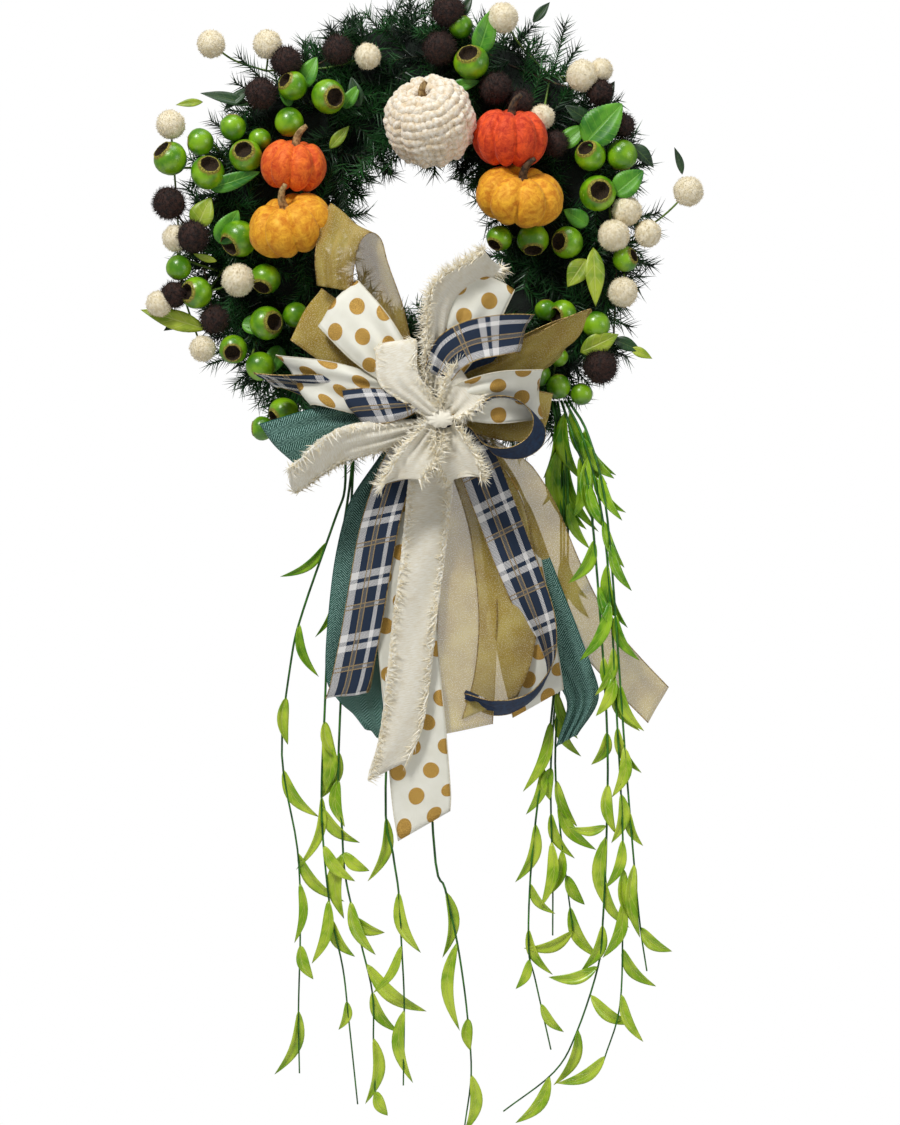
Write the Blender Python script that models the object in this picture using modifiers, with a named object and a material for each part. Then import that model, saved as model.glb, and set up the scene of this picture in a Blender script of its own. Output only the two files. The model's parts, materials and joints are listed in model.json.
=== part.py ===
"""Harvest door wreath: a pine ring on wire, with pods, pom-poms, pumpkins, a ribbon bow and trailing vines.

Metres, +Z up, front towards -Y. The origin is the inside top of the wire loop that the wreath hangs by.
Places on the wreath are given as a clock angle (degrees from the top, clockwise as seen from the front) and a
reach (metres outwards from the ring wire's centreline), so they follow the ring when its radius changes.
"""

import math

import bmesh
import bpy
from mathutils import Matrix, Vector

# Driving sizes.
RING_RADIUS = 0.163
RING_WIRE = 0.005
LOOP_DROP = 0.045
LOOP_WIDTH = 0.024
LOOP_WIRE = 0.0025
PINE_OUT = 0.092
PINE_IN = 0.088
PINE_FRONT = 0.050
PINE_BACK = 0.004
PINE_BUNCHES = 6
PINE_GAP_DEG = 3.6
POD_SCALE = 1.0
POM_SCALE = 1.0
STEM_WIRE = 0.0022
VINE_WIRE = 0.0024
VINE_LEAF_THICK = 0.0020
VINE_LAYER = 0.0029
RIBBON_THICK = 0.0030
TAIL_LAYER = 0.0040
TAIL_LENGTH_SCALE = 1.0
VINE_LENGTH_SCALE = 1.0
BOW_LAYER = 0.012
BOW_SCALE = 1.0
BOW_CORE_RADIUS = 0.012
TIE_WIRE = 0.004
WIDE_RIBBON = 0.0635
NARROW_RIBBON = 0.038

# Where pods are made bigger, what stands next to them shrinks by these shares of the growth.
POD_GROWTH = POD_SCALE - 1.0
POM_FIT = 1.0 - 0.90 * POD_GROWTH
PUMPKIN_FIT = 1.0 - 0.15 * POD_GROWTH
STALK_FIT = 1.0 - 2.00 * POD_GROWTH

# Clearances.
TOUCH_GAP = 0.0003
LAYER_GAP = 0.0006

# Where things sit.
BOW_CLOCK = 176.0
BOW_REACH = 0.028
FIRST_PINE_GAP_CLOCK = BOW_CLOCK
RING_Y = -PINE_BACK - TOUCH_GAP * 5 - RING_WIRE / 2
GROOVE_SIDE = RING_WIRE / 2 + LOOP_WIRE + TOUCH_GAP
GROOVE_FRONT_Y = RING_Y - RING_WIRE / 2 - 0.0025
RING_TOP_Z = -LOOP_DROP
CENTRE_Z = RING_TOP_Z - RING_RADIUS
CREAM_STEM_Y = -PINE_FRONT - STEM_WIRE / 2 - 0.0020
BROWN_STEM_Y = CREAM_STEM_Y - STEM_WIRE - LAYER_GAP
POD_STEM_Y = BROWN_STEM_Y - STEM_WIRE - LAYER_GAP
ITEM_BACK_Y = POD_STEM_Y - STEM_WIRE / 2 - LAYER_GAP
VINE_FIRST_Y = -PINE_FRONT - 0.0045
TAIL_FIRST_Y = VINE_FIRST_Y - 6 * VINE_LAYER - 0.0010
BOW_BACK_Y = TAIL_FIRST_Y - 6 * TAIL_LAYER
CORE_LENGTH = 6 * BOW_LAYER

# Colours (linear) with roughness and metallic value, by material name.
FINISHES = {
    "frame_wire": ((0.10, 0.12, 0.09), 0.40, 0.9),
    "pine": ((0.02, 0.06, 0.025), 0.70, 0.0),
    "pod_green": ((0.24, 0.48, 0.02), 0.35, 0.0),
    "cream_fluff": ((0.70, 0.60, 0.45), 0.90, 0.0),
    "brown_fluff": ((0.03, 0.012, 0.006), 0.90, 0.0),
    "white_boucle": ((0.85, 0.74, 0.58), 0.90, 0.0),
    "orange_velvet": ((0.83, 0.13, 0.02), 0.70, 0.0),
    "mustard_velvet": ((0.74, 0.32, 0.03), 0.70, 0.0),
    "dried_stem": ((0.30, 0.20, 0.09), 0.70, 0.0),
    "dark_stem": ((0.06, 0.035, 0.015), 0.70, 0.0),
    "gold_mesh": ((0.55, 0.42, 0.18), 0.45, 0.6),
    "teal_twill": ((0.01, 0.10, 0.08), 0.80, 0.0),
    "polka_satin": ((0.80, 0.78, 0.66), 0.50, 0.0),
    "plaid_twill": ((0.01, 0.03, 0.14), 0.75, 0.0),
    "ivory_silk": ((0.74, 0.64, 0.44), 0.80, 0.0),
    "vine_green": ((0.20, 0.42, 0.03), 0.50, 0.0),
}

# Pods: name of the pick, hub (clock, reach), then pods as (clock, reach, radius, mouth clock, mouth tilt,
# forward).
# The mouth's tilt is 0 where it looks straight to the front, and forward is how far it stands out past its pick.
POD_PICKS = {
    "far_left": (
        (-70, 0.052),
        [
            (-74, 0.110, 0.018, -45, 60, 0.000),
            (-75, 0.069, 0.018, 25, 35, 0.000),
            (-68, 0.086, 0.014, -90, 100, 0.000),
            (-67, 0.036, 0.017, -20, 20, 0.000),
            (-61, 0.061, 0.014, 0, 110, 0.000),
        ],
    ),
    "upper_left": (
        (-42, 0.024),
        [
            (-41, 0.040, 0.016, -60, 50, 0.000),
            (-34, 0.007, 0.018, 110, 35, 0.000),
            (-50, 0.016, 0.015, 180, 120, 0.000),
        ],
    ),
    "mid_left": (
        (-101, 0.054),
        [
            (-93, 0.038, 0.017, -130, 60, 0.000),
            (-99, 0.096, 0.012, 180, 120, 0.000),
            (-106, 0.082, 0.016, -90, 45, 0.000),
        ],
    ),
    "lower_left": (
        (-122, 0.040),
        [
            (-122, 0.027, 0.018, 90, 40, 0.000),
            (-125, -0.005, 0.013, 180, 120, 0.000),
            (-123, 0.073, 0.015, 180, 25, 0.000),
            (-131, 0.058, 0.015, 120, 120, 0.000),
        ],
    ),
    "bottom_left": (
        (-143, 0.064),
        [
            (-144, 0.080, 0.016, -120, 65, 0.000),
            (-142, 0.108, 0.012, -90, 100, 0.000),
        ],
    ),
    "top": (
        (14, 0.044),
        [
            (12, 0.062, 0.013, 0, 95, 0.000),
            (19, 0.026, 0.018, -25, 35, 0.000),
        ],
    ),
    "upper_right": (
        (73, 0.050),
        [
            (66, 0.038, 0.016, -40, 40, 0.000),
            (71, 0.072, 0.016, 180, 120, 0.000),
            (79, 0.030, 0.018, 60, 8, 0.000),
        ],
    ),
    "inner_right": (
        (97, -0.032),
        [
            (94, -0.073, 0.013, -145, 60, 0.000),
            (97, -0.038, 0.017, 180, 65, 0.000),
            (95, -0.001, 0.016, -90, 45, 0.000),
        ],
    ),
    "lower_right": (
        (121, 0.028),
        [
            (123, -0.004, 0.011, 0, 110, 0.000),
            (120, 0.018, 0.014, -110, 50, 0.000),
            (118, 0.055, 0.014, 180, 115, 0.000),
        ],
    ),
    "bottom_right": (
        (138, 0.054),
        [
            (138, 0.065, 0.012, 0, 120, 0.000),
            (140, 0.040, 0.012, 0, 120, 0.000),
        ],
    ),
}

# Pom-poms: name of the spray, hub (clock, reach), then balls as (clock, reach, radius, forward).
CREAM_SPRAYS = {
    "upper_left": (
        (-43, 0.078),
        [(-48, 0.134, 0.016, 0.0), (-39, 0.094, 0.016, 0.0)],
    ),
    "far_left": (
        (-104, 0.100),
        [(-92, 0.101, 0.014, 0.0), (-106, 0.127, 0.015, 0.0), (-119, 0.100, 0.015, 0.0),
         (-107, 0.036, 0.018, 0.0)],
    ),
    "top_right": (
        (40, 0.060),
        [(22, 0.082, 0.017, 0.0), (46, 0.078, 0.017, 0.0), (51, 0.104, 0.013, 0.0), (50, 0.028, 0.014, 0.0)],
    ),
    "far_right": (
        (92, 0.064),
        [(82, 0.130, 0.017, 0.0), (92, 0.042, 0.017, 0.0), (90, 0.086, 0.015, 0.0), (107, 0.067, 0.017, 0.0)],
    ),
}
BROWN_SPRAYS = {
    "upper_left": (
        (-36, 0.058),
        [(-34, 0.072, 0.016, 0.0), (-24, 0.050, 0.015, 0.0), (-51, 0.058, 0.016, 0.0)],
    ),
    "far_left": (
        (-90, 0.076),
        [(-84, 0.104, 0.018, 0.0), (-92, 0.070, 0.015, 0.004), (-115, 0.076, 0.013, 0.0)],
    ),
    "top_right": (
        (24, 0.044),
        [(5, 0.034, 0.018, 0.0), (30, 0.018, 0.014, 0.0), (59, 0.012, 0.014, 0.0), (53, 0.070, 0.014, 0.0)],
    ),
    "lower_right": (
        (121, 0.084),
        [(127, 0.080, 0.018, 0.0), (112, 0.098, 0.013, 0.0)],
    ),
}

# Pumpkins: clock, reach, width, height, lean to the front, turn in the front view, ribs, material, stem
# material.
PUMPKINS = {
    "white": (7, -0.050, 0.098, 0.088, 50, -18, 10, "white_boucle", "dried_stem"),
    "orange_left": (-63, -0.015, 0.068, 0.053, 8, 8, 10, "orange_velvet", "dried_stem"),
    "orange_right": (46, -0.025, 0.078, 0.059, 8, 3, 10, "orange_velvet", "dark_stem"),
    "mustard_left": (-89, -0.028, 0.088, 0.052, 30, -18, 10, "mustard_velvet", "dried_stem"),
    "mustard_right": (73, -0.049, 0.092, 0.049, 30, 10, 10, "mustard_velvet", "dark_stem"),
}
PUMPKIN_STEM_WIRE = 0.006
PUMPKIN_STEM_LENGTH = 0.016

# Bow: one layer per ribbon, from the back, with its loops as (clock, length, half width in degrees).
BOW_RIBBONS = {
    "gold": ("gold_mesh", [(-22, 0.215, 12), (-56, 0.155, 15), (62, 0.205, 14), (96, 0.140, 15)]),
    "teal": ("teal_twill", [(-104, 0.178, 15)]),
    "polka": ("polka_satin", [(-76, 0.175, 14), (-44, 0.148, 16), (34, 0.165, 14), (84, 0.135, 16)]),
    "plaid": ("plaid_twill", [(-84, 0.165, 12), (51, 0.150, 14), (112, 0.130, 17)]),
    "ivory": ("ivory_silk", [(-119, 0.168, 13), (26, 0.172, 12)]),
    "ivory_centre": ("ivory_silk", [(-25, 0.065, 30), (66, 0.056, 34), (-160, 0.092, 24), (145, 0.084, 24)]),
}
BOW_HUB_RADIUS = 0.019
BOW_OUTLINE_STEP_DEG = 6

# Tails: material, layer from the back, width, slant of the end, centreline from the bow's centre as (across,
# down).
TAILS = {
    "gold_right": (
        "gold_mesh", 0, NARROW_RIBBON, 0.020,
        [(0.016, 0.010), (0.100, 0.064), (0.142, 0.160), (0.163, 0.250), (0.222, 0.318)],
    ),
    "teal_left": (
        "teal_twill", 1, 0.048, 0.020,
        [(-0.016, 0.010), (-0.052, 0.080), (-0.074, 0.160), (-0.083, 0.260), (-0.079, 0.346)],
    ),
    "teal_right": (
        "teal_twill", 1, 0.048, -0.020,
        [(0.016, 0.010), (0.088, 0.094), (0.124, 0.192), (0.146, 0.272), (0.148, 0.352)],
    ),
    "gold_centre": (
        "gold_mesh", 2, WIDE_RIBBON, 0.020,
        [(0.006, 0.010), (0.050, 0.066), (0.054, 0.160), (0.050, 0.250), (0.046, 0.342)],
    ),
    "polka_centre": (
        "polka_satin", 3, WIDE_RIBBON, 0.022,
        [(-0.012, 0.010), (-0.008, 0.078), (-0.003, 0.206), (-0.005, 0.312), (-0.006, 0.456)],
    ),
    "polka_right": (
        "polka_satin", 3, 0.046, -0.012,
        [(0.018, 0.010), (0.076, 0.086), (0.102, 0.184), (0.116, 0.270), (0.128, 0.326)],
    ),
    "plaid_left": (
        "plaid_twill", 4, NARROW_RIBBON, 0.004,
        [(-0.016, 0.010), (-0.039, 0.074), (-0.056, 0.130), (-0.066, 0.222), (-0.092, 0.318)],
    ),
    "plaid_right": (
        "plaid_twill", 4, NARROW_RIBBON, -0.010,
        [(0.016, 0.010), (0.052, 0.060), (0.078, 0.118), (0.108, 0.204), (0.122, 0.272)],
    ),
    "ivory": (
        "ivory_silk", 5, 0.050, 0.026,
        [(-0.004, 0.010), (0.000, 0.066), (-0.006, 0.130), (-0.014, 0.220), (-0.022, 0.314), (-0.046, 0.394)],
    ),
}
TAIL_PINCH = 0.016
TAIL_OPEN_LENGTH = 0.075

# Vines: each bunch's hinge (clock, reach) and how far across from it the bunch's stems start, which puts the
# hinge straight above the bunch's weight.
VINE_BUNCHES = {
    "vines_left": (-156.9, 0.0785, 0.0300),
    "vines_centre": (178.7, 0.0720, -0.0055),
    "vines_right": (135.8, 0.0917, -0.0027),
}
# Each piece of vine: its bunch, layer from the back, and strands as (stem points from the bunch's start as
# (across, down), leaves as (how far down, tilt from hanging straight, length)).
VINES = {
    "vine_left_outer": (
        "vines_left",
        0,
        [
            (
                [(-0.014, 0.010), (-0.014, 0.055), (-0.025, 0.089), (-0.059, 0.186), (-0.072, 0.240),
                 (-0.082, 0.343),
                 (-0.065, 0.445), (-0.062, 0.528), (-0.064, 0.621), (-0.063, 0.687)],
                [(0.118, -50, 0.059), (0.208, 20, 0.058), (0.288, 5, 0.048), (0.358, 35, 0.059),
                 (0.448, 40, 0.067),
                 (0.478, -5, 0.061), (0.548, 20, 0.037), (0.618, -20, 0.070)],
            ),
        ],
    ),
    "vine_left_inner": (
        "vines_left",
        1,
        [
            (
                [(-0.004, 0.010), (-0.009, 0.055), (-0.030, 0.197), (-0.036, 0.304), (-0.039, 0.383),
                 (-0.037, 0.438),
                 (-0.029, 0.512), (-0.016, 0.572), (-0.010, 0.624), (0.000, 0.720)],
                [(0.148, -15, 0.066), (0.318, -5, 0.065), (0.378, -20, 0.080), (0.398, 45, 0.051),
                 (0.438, 40, 0.046),
                 (0.498, -15, 0.067), (0.608, -15, 0.028)],
            ),
            (
                [(-0.004, 0.012), (-0.006, 0.055), (-0.014, 0.197), (-0.021, 0.362), (-0.017, 0.419),
                 (-0.013, 0.476),
                 (0.003, 0.544), (0.016, 0.601), (0.017, 0.655), (0.019, 0.713)],
                [(0.338, -20, 0.048), (0.368, 10, 0.047), (0.448, 0, 0.067), (0.518, 65, 0.030),
                 (0.568, 50, 0.076),
                 (0.598, 30, 0.048), (0.648, -5, 0.066), (0.708, 30, 0.028)],
            ),
        ],
    ),
    "vine_centre": (
        "vines_centre",
        2,
        [
            (
                [(0.000, 0.010), (-0.019, 0.055), (-0.034, 0.364), (-0.026, 0.435), (-0.020, 0.476),
                 (-0.017, 0.531),
                 (-0.014, 0.595), (-0.015, 0.684)],
                [(0.395, -15, 0.067), (0.475, 20, 0.065), (0.535, -30, 0.053), (0.605, 5, 0.073)],
            ),
            (
                [(0.000, 0.012), (0.003, 0.055), (0.017, 0.413), (0.030, 0.473), (0.041, 0.521),
                 (0.048, 0.562),
                 (0.054, 0.611), (0.058, 0.671), (0.051, 0.728)],
                [(0.475, 0, 0.066), (0.525, 0, 0.089), (0.615, 5, 0.029), (0.675, -5, 0.058)],
            ),
        ],
    ),
    "vine_right_inner": (
        "vines_right",
        3,
        [
            (
                [(-0.014, 0.012), (-0.021, 0.212), (-0.031, 0.346), (-0.043, 0.416), (-0.053, 0.511),
                 (-0.055, 0.591),
                 (-0.048, 0.624), (-0.031, 0.700)],
                [(0.050, -5, 0.070), (0.345, -25, 0.076), (0.455, -20, 0.063), (0.525, 35, 0.039),
                 (0.605, -25, 0.033),
                 (0.655, 40, 0.037)],
            ),
            (
                [(-0.013, 0.013), (-0.018, 0.212), (-0.030, 0.370), (-0.031, 0.440), (-0.029, 0.511),
                 (-0.029, 0.577)],
                [(0.395, 0, 0.032), (0.475, -10, 0.067)],
            ),
            (
                [(-0.012, 0.012), (-0.014, 0.212), (-0.026, 0.370), (-0.022, 0.450), (-0.015, 0.511),
                 (-0.007, 0.572)],
                [(0.060, 20, 0.070), (0.435, 40, 0.061), (0.515, 35, 0.035), (0.545, 30, 0.063)],
            ),
        ],
    ),
    "vine_right_middle": (
        "vines_right",
        4,
        [
            (
                [(0.000, 0.012), (0.010, 0.100), (0.027, 0.336), (0.027, 0.464), (0.023, 0.557),
                 (0.018, 0.605),
                 (-0.005, 0.676), (-0.029, 0.718), (-0.083, 0.760)],
                [(0.060, -5, 0.060), (0.355, -25, 0.036), (0.455, -85, 0.037), (0.465, 5, 0.086),
                 (0.605, -80, 0.051),
                 (0.635, 55, 0.052), (0.675, -20, 0.060), (0.722, -35, 0.057)],
            ),
        ],
    ),
    "vine_right_outer": (
        "vines_right",
        5,
        [
            (
                [(0.012, 0.012), (0.023, 0.129), (0.032, 0.229), (0.037, 0.322), (0.044, 0.464),
                 (0.044, 0.557),
                 (0.041, 0.647)],
                [(0.040, 30, 0.045), (0.175, 15, 0.067), (0.215, -30, 0.067), (0.295, -25, 0.043),
                 (0.300, 25, 0.055),
                 (0.535, -20, 0.060), (0.585, 40, 0.045)],
            ),
            (
                [(0.013, 0.013), (0.028, 0.129), (0.046, 0.370), (0.056, 0.492), (0.063, 0.563),
                 (0.070, 0.610)],
                [(0.495, 5, 0.072), (0.565, 50, 0.038)],
            ),
        ],
    ),
}
LEAF_WIDTH = 0.013

PARTS = None
OPERANDS = None
MATERIALS = {}


def start_scene():
    """Clear the scene and make the two collections: the object's parts and the shapes they are cut by."""
    global PARTS, OPERANDS
    for old in list(bpy.data.objects):
        bpy.data.objects.remove(old, do_unlink=True)
    PARTS = bpy.data.collections.new("harvest_door_wreath")
    OPERANDS = bpy.data.collections.new("operands")
    for collection in (PARTS, OPERANDS):
        bpy.context.scene.collection.children.link(collection)
    OPERANDS.hide_render = True


def finish(name):
    """The material of this name, made on first use."""
    if name not in MATERIALS:
        colour, roughness, metallic = FINISHES[name]
        material = bpy.data.materials.new(name)
        material.use_nodes = True
        shader = material.node_tree.nodes["Principled BSDF"]
        shader.inputs["Base Color"].default_value = (*colour, 1.0)
        shader.inputs["Roughness"].default_value = roughness
        shader.inputs["Metallic"].default_value = metallic
        MATERIALS[name] = material
    return MATERIALS[name]


def place(obj, collection, material=None, smooth_angle=None):
    """Link an object into a collection, with its material and shading."""
    collection.objects.link(obj)
    if material is not None:
        obj.data.materials.append(finish(material))
    if smooth_angle is not None:
        obj.data.shade_smooth()
        obj.data.set_sharp_from_angle(angle=math.radians(smooth_angle))
    return obj


def mesh_object(name, bm):
    """An object from a bmesh, which is freed."""
    mesh = bpy.data.meshes.new(name)
    bm.to_mesh(mesh)
    bm.free()
    return bpy.data.objects.new(name, mesh)


def on_wreath(clock, reach, y):
    """The point at a clock angle and a reach from the ring wire, at depth y."""
    angle = math.radians(clock)
    radius = RING_RADIUS + reach
    return Vector((radius * math.sin(angle), y, CENTRE_Z + radius * math.cos(angle)))


def smooth_points(points, steps):
    """A Catmull-Rom curve through the points, with this many steps in each span."""
    ends = [points[0], *points, points[-1]]
    curve = []
    for before, start, end, after in zip(ends, ends[1:], ends[2:], ends[3:]):
        for step in range(steps):
            t = step / steps
            curve.append(
                0.5 * (2 * start + (end - before) * t + (2 * before - 5 * start + 4 * end - after) * t**2
                       + (3 * start - 3 * end + after - before) * t**3)
            )
    return [*curve, points[-1].copy()]


def wire_curve(name, points, wire, closed=False, sides=6):
    """A round wire as a curve through the points."""
    data = bpy.data.curves.new(name, "CURVE")
    data.dimensions = "3D"
    data.bevel_depth = wire / 2
    data.bevel_resolution = (sides - 4) // 2
    data.use_fill_caps = not closed
    spline = data.splines.new("POLY")
    spline.points.add(len(points) - 1)
    for point, place_at in zip(spline.points, points):
        point.co = (*place_at, 1.0)
    spline.use_cyclic_u = closed
    return bpy.data.objects.new(name, data)


def as_mesh(curve_object):
    """A curve object turned into a mesh object with its caps welded."""
    bpy.context.scene.collection.objects.link(curve_object)
    bpy.context.view_layer.update()
    evaluated = curve_object.evaluated_get(bpy.context.evaluated_depsgraph_get())
    mesh = bpy.data.meshes.new_from_object(evaluated)
    bm = bmesh.new()
    bm.from_mesh(mesh)
    bmesh.ops.remove_doubles(bm, verts=bm.verts, dist=0.00001)
    bm.to_mesh(mesh)
    bm.free()
    made = bpy.data.objects.new(curve_object.name, mesh)
    made.matrix_world = curve_object.matrix_world.copy()
    bpy.data.objects.remove(curve_object, do_unlink=True)
    return made


def unite(base, shapes):
    """Join closed shapes to the base as one body."""
    group = bpy.data.collections.new(base.name + "_operands")
    group.hide_render = True
    OPERANDS.children.link(group)
    for shape in shapes:
        shape.hide_render = True
        shape.display_type = "WIRE"
        group.objects.link(shape)
    union = base.modifiers.new("union", "BOOLEAN")
    union.operation = "UNION"
    union.solver = "EXACT"
    union.operand_type = "COLLECTION"
    union.collection = group
    return base


def ball(name, centre, radius, detail=2):
    """A ball as an icosphere."""
    bm = bmesh.new()
    bmesh.ops.create_icosphere(bm, subdivisions=detail, radius=radius, matrix=Matrix.Translation(centre))
    return mesh_object(name, bm)


def facing(clock, tilt):
    """The direction at a tilt from straight to the front, leaning towards a clock angle."""
    turn, lean = math.radians(clock), math.radians(tilt)
    return Vector((math.sin(turn) * math.sin(lean), -math.cos(lean), math.cos(turn) * math.sin(lean)))


def frame_ring():
    """The wire ring that carries everything."""
    bpy.ops.mesh.primitive_torus_add(
        major_radius=RING_RADIUS,
        minor_radius=RING_WIRE / 2,
        major_segments=36,
        minor_segments=6,
        location=(0.0, RING_Y, CENTRE_Z),
        rotation=(math.pi / 2, 0.0, 0.0),
    )
    ring = bpy.context.object
    ring.name = "frame_ring"
    for collection in list(ring.users_collection):
        collection.objects.unlink(ring)
    place(ring, PARTS, "frame_wire", 40)


def hanger_loop():
    """The wire loop at the back: two legs up from behind the ring wire, joined by a half circle on top."""
    bend = LOOP_WIDTH / 2 - LOOP_WIRE / 2
    top = LOOP_WIRE / 2 - bend
    foot_y = RING_Y + RING_WIRE / 2 + LOOP_WIRE / 2 + TOUCH_GAP
    foot_z = RING_TOP_Z - RING_WIRE
    leg_z = RING_TOP_Z + GROOVE_SIDE - LOOP_WIRE / 2 - 2 * TOUCH_GAP
    points = [Vector((-bend, foot_y, foot_z)), Vector((-bend, foot_y, leg_z - 0.004))]
    points.append(Vector((-bend, 0.0, leg_z)))
    for step in range(9):
        angle = math.pi * (1 - step / 8)
        points.append(Vector((bend * math.cos(angle), 0.0, top + bend * math.sin(angle))))
    points += [Vector((bend, 0.0, leg_z)), Vector((bend, foot_y, leg_z - 0.004)), Vector((bend, foot_y, foot_z))]
    place(wire_curve("hanger_loop", points, LOOP_WIRE), PARTS, "frame_wire")


def pine_section():
    """Half of a pine bunch's section, as (reach, y), with the groove at the back that the ring wire lies in."""
    shoulder = 0.55
    return [
        (-GROOVE_SIDE, -PINE_BACK),
        (-PINE_IN * 0.93, -PINE_BACK),
        (-PINE_IN, -PINE_FRONT * 0.4),
        (-PINE_IN * 0.90, -PINE_FRONT * 0.75),
        (-PINE_IN * shoulder, -PINE_FRONT),
        (PINE_OUT * shoulder, -PINE_FRONT),
        (PINE_OUT * 0.90, -PINE_FRONT * 0.75),
        (PINE_OUT, -PINE_FRONT * 0.4),
        (PINE_OUT * 0.93, -PINE_BACK),
        (GROOVE_SIDE, -PINE_BACK),
        (GROOVE_SIDE, GROOVE_FRONT_Y),
        (-GROOVE_SIDE, GROOVE_FRONT_Y),
    ]


def pine_bunches():
    """The pine as bunches of twigs side by side around the ring, each a grooved block that bends with it."""
    pitch = 360.0 / PINE_BUNCHES
    sweep = math.radians(pitch - PINE_GAP_DEG)
    steps = 6
    for index in range(PINE_BUNCHES):
        first = math.radians(FIRST_PINE_GAP_CLOCK + pitch * index + PINE_GAP_DEG / 2)
        bm = bmesh.new()
        rings = []
        for step in range(steps + 1):
            angle = first + sweep * step / steps
            section = [(RING_RADIUS + reach, y) for reach, y in pine_section()]
            ring = [bm.verts.new((r * math.sin(angle), y, r * math.cos(angle))) for r, y in section]
            rings.append(ring)
        count = len(rings[0])
        for near, far in zip(rings, rings[1:]):
            for corner in range(count):
                after = (corner + 1) % count
                bm.faces.new((near[corner], near[after], far[after], far[corner]))
        bm.faces.new(reversed(rings[0]))
        bm.faces.new(rings[-1])
        bmesh.ops.recalc_face_normals(bm, faces=bm.faces)
        bunch = mesh_object(f"pine_bunch_{index + 1}", bm)
        bunch.location = (0.0, 0.0, CENTRE_Z)
        place(bunch, PARTS, "pine")


def hub_and_stem_shapes(name, hub, hub_y, ends, wire):
    """A pick's hub, where its stems are bound, and a stem to each end: out flat, then forward into the piece."""
    centre = on_wreath(*hub, hub_y)
    base = ball(name, centre, wire * 0.98, 1)
    stems = []
    for number, end in enumerate(ends):
        corner = Vector((end.x, hub_y, end.z))
        curve = wire_curve(f"{name}_stem_{number}", [centre, corner, end], wire, sides=4)
        stems.append(as_mesh(curve))
    return base, stems


def pod(name, centre, radius, direction):
    """An open seed pod: a round shell with a rim and a dished mouth, turned about its own axis."""
    outline = [
        (0.0, 0.38),
        (0.30, 0.42),
        (0.42, 0.80),
        (0.54, 0.86),
        (0.82, 0.58),
        (1.00, 0.00),
        (0.80, -0.60),
        (0.40, -0.92),
        (0.0, -1.0),
    ]
    bm = bmesh.new()
    points = [bm.verts.new((radius * across, 0.0, radius * up)) for across, up in outline]
    for start, end in zip(points, points[1:]):
        bm.edges.new((start, end))
    shell = mesh_object(name, bm)
    turned = shell.modifiers.new("turned", "SCREW")
    turned.steps = 8
    turned.render_steps = 8
    turned.use_merge_vertices = True
    turned.merge_threshold = 0.0001
    turned.use_smooth_shade = True
    shell.matrix_world = Matrix.Translation(centre) @ direction.to_track_quat("Z", "Y").to_matrix().to_4x4()
    return shell


def pod_picks():
    """Each pick of green pods: stems from one hub, with an open pod on each."""
    for key, (hub, pods) in POD_PICKS.items():
        name = f"pod_pick_{key}"
        shapes = []
        centres = []
        for number, (clock, reach, radius, mouth_clock, mouth_tilt, forward) in enumerate(pods):
            size = radius * POD_SCALE
            centre = on_wreath(clock, reach, ITEM_BACK_Y - size - forward)
            shapes.append(pod(f"{name}_pod_{number}", centre, size, facing(mouth_clock, mouth_tilt)))
            centres.append(centre)
        base, stems = hub_and_stem_shapes(name, hub, POD_STEM_Y, centres, STEM_WIRE)
        unite(place(base, PARTS, "pod_green"), stems + shapes)


def pom_sprays(sprays, colour, stem_y):
    """Each spray of pom-poms: wire stems from one hub, with a round ball on each."""
    for key, (hub, balls) in sprays.items():
        name = f"{colour}_spray_{key}"
        shapes = []
        centres = []
        for number, (clock, reach, radius, forward) in enumerate(balls):
            size = radius * POM_SCALE * POM_FIT
            centre = on_wreath(clock, reach, ITEM_BACK_Y - size - forward)
            shapes.append(ball(f"{name}_pom_{number}", centre, size))
            centres.append(centre)
        base, stems = hub_and_stem_shapes(name, hub, stem_y, centres, STEM_WIRE)
        unite(place(base, PARTS, f"{colour}_fluff"), stems + shapes)


def pumpkins():
    """Five stuffed pumpkins, each a squashed ribbed ball with a stalk of its own on top."""
    stalk_length = PUMPKIN_STEM_LENGTH * STALK_FIT
    for key, (clock, reach, full_width, full_height, lean, turn, ribs, skin, stalk) in PUMPKINS.items():
        width = full_width * PUMPKIN_FIT
        height = full_height * PUMPKIN_FIT
        bm = bmesh.new()
        bmesh.ops.create_uvsphere(bm, u_segments=2 * ribs, v_segments=8, radius=1.0)
        for vert in bm.verts:
            angle = math.atan2(vert.co.y, vert.co.x)
            rib = 1.0 - 0.05 * (1 - math.cos(ribs * angle)) / 2
            vert.co = (vert.co.x * rib * width / 2, vert.co.y * rib * width / 2, vert.co.z * height / 2)
        body = mesh_object(f"pumpkin_{key}", bm)
        axes = Matrix.Rotation(math.radians(turn), 4, "Y") @ Matrix.Rotation(math.radians(lean), 4, "X")
        depth = max(abs((axes @ vert.co).y) for vert in body.data.vertices)
        centre = on_wreath(clock, reach, -PINE_FRONT - TOUCH_GAP - depth)
        body.matrix_world = Matrix.Translation(centre) @ axes
        place(body, PARTS, skin, 60)
        foot = height / 2 + TOUCH_GAP
        sway = stalk_length * 0.3
        points = [
            Vector((0.0, 0.0, foot)),
            Vector((0.0, 0.0, foot + stalk_length * 0.5)),
            Vector((sway, 0.0, foot + stalk_length)),
        ]
        stem = wire_curve(f"pumpkin_stalk_{key}", points, PUMPKIN_STEM_WIRE)
        stem.matrix_world = body.matrix_world
        place(stem, PARTS, stalk)


def bow_centre():
    """The middle of the bow on the wreath's face."""
    return on_wreath(BOW_CLOCK, BOW_REACH, BOW_BACK_Y)


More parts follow.
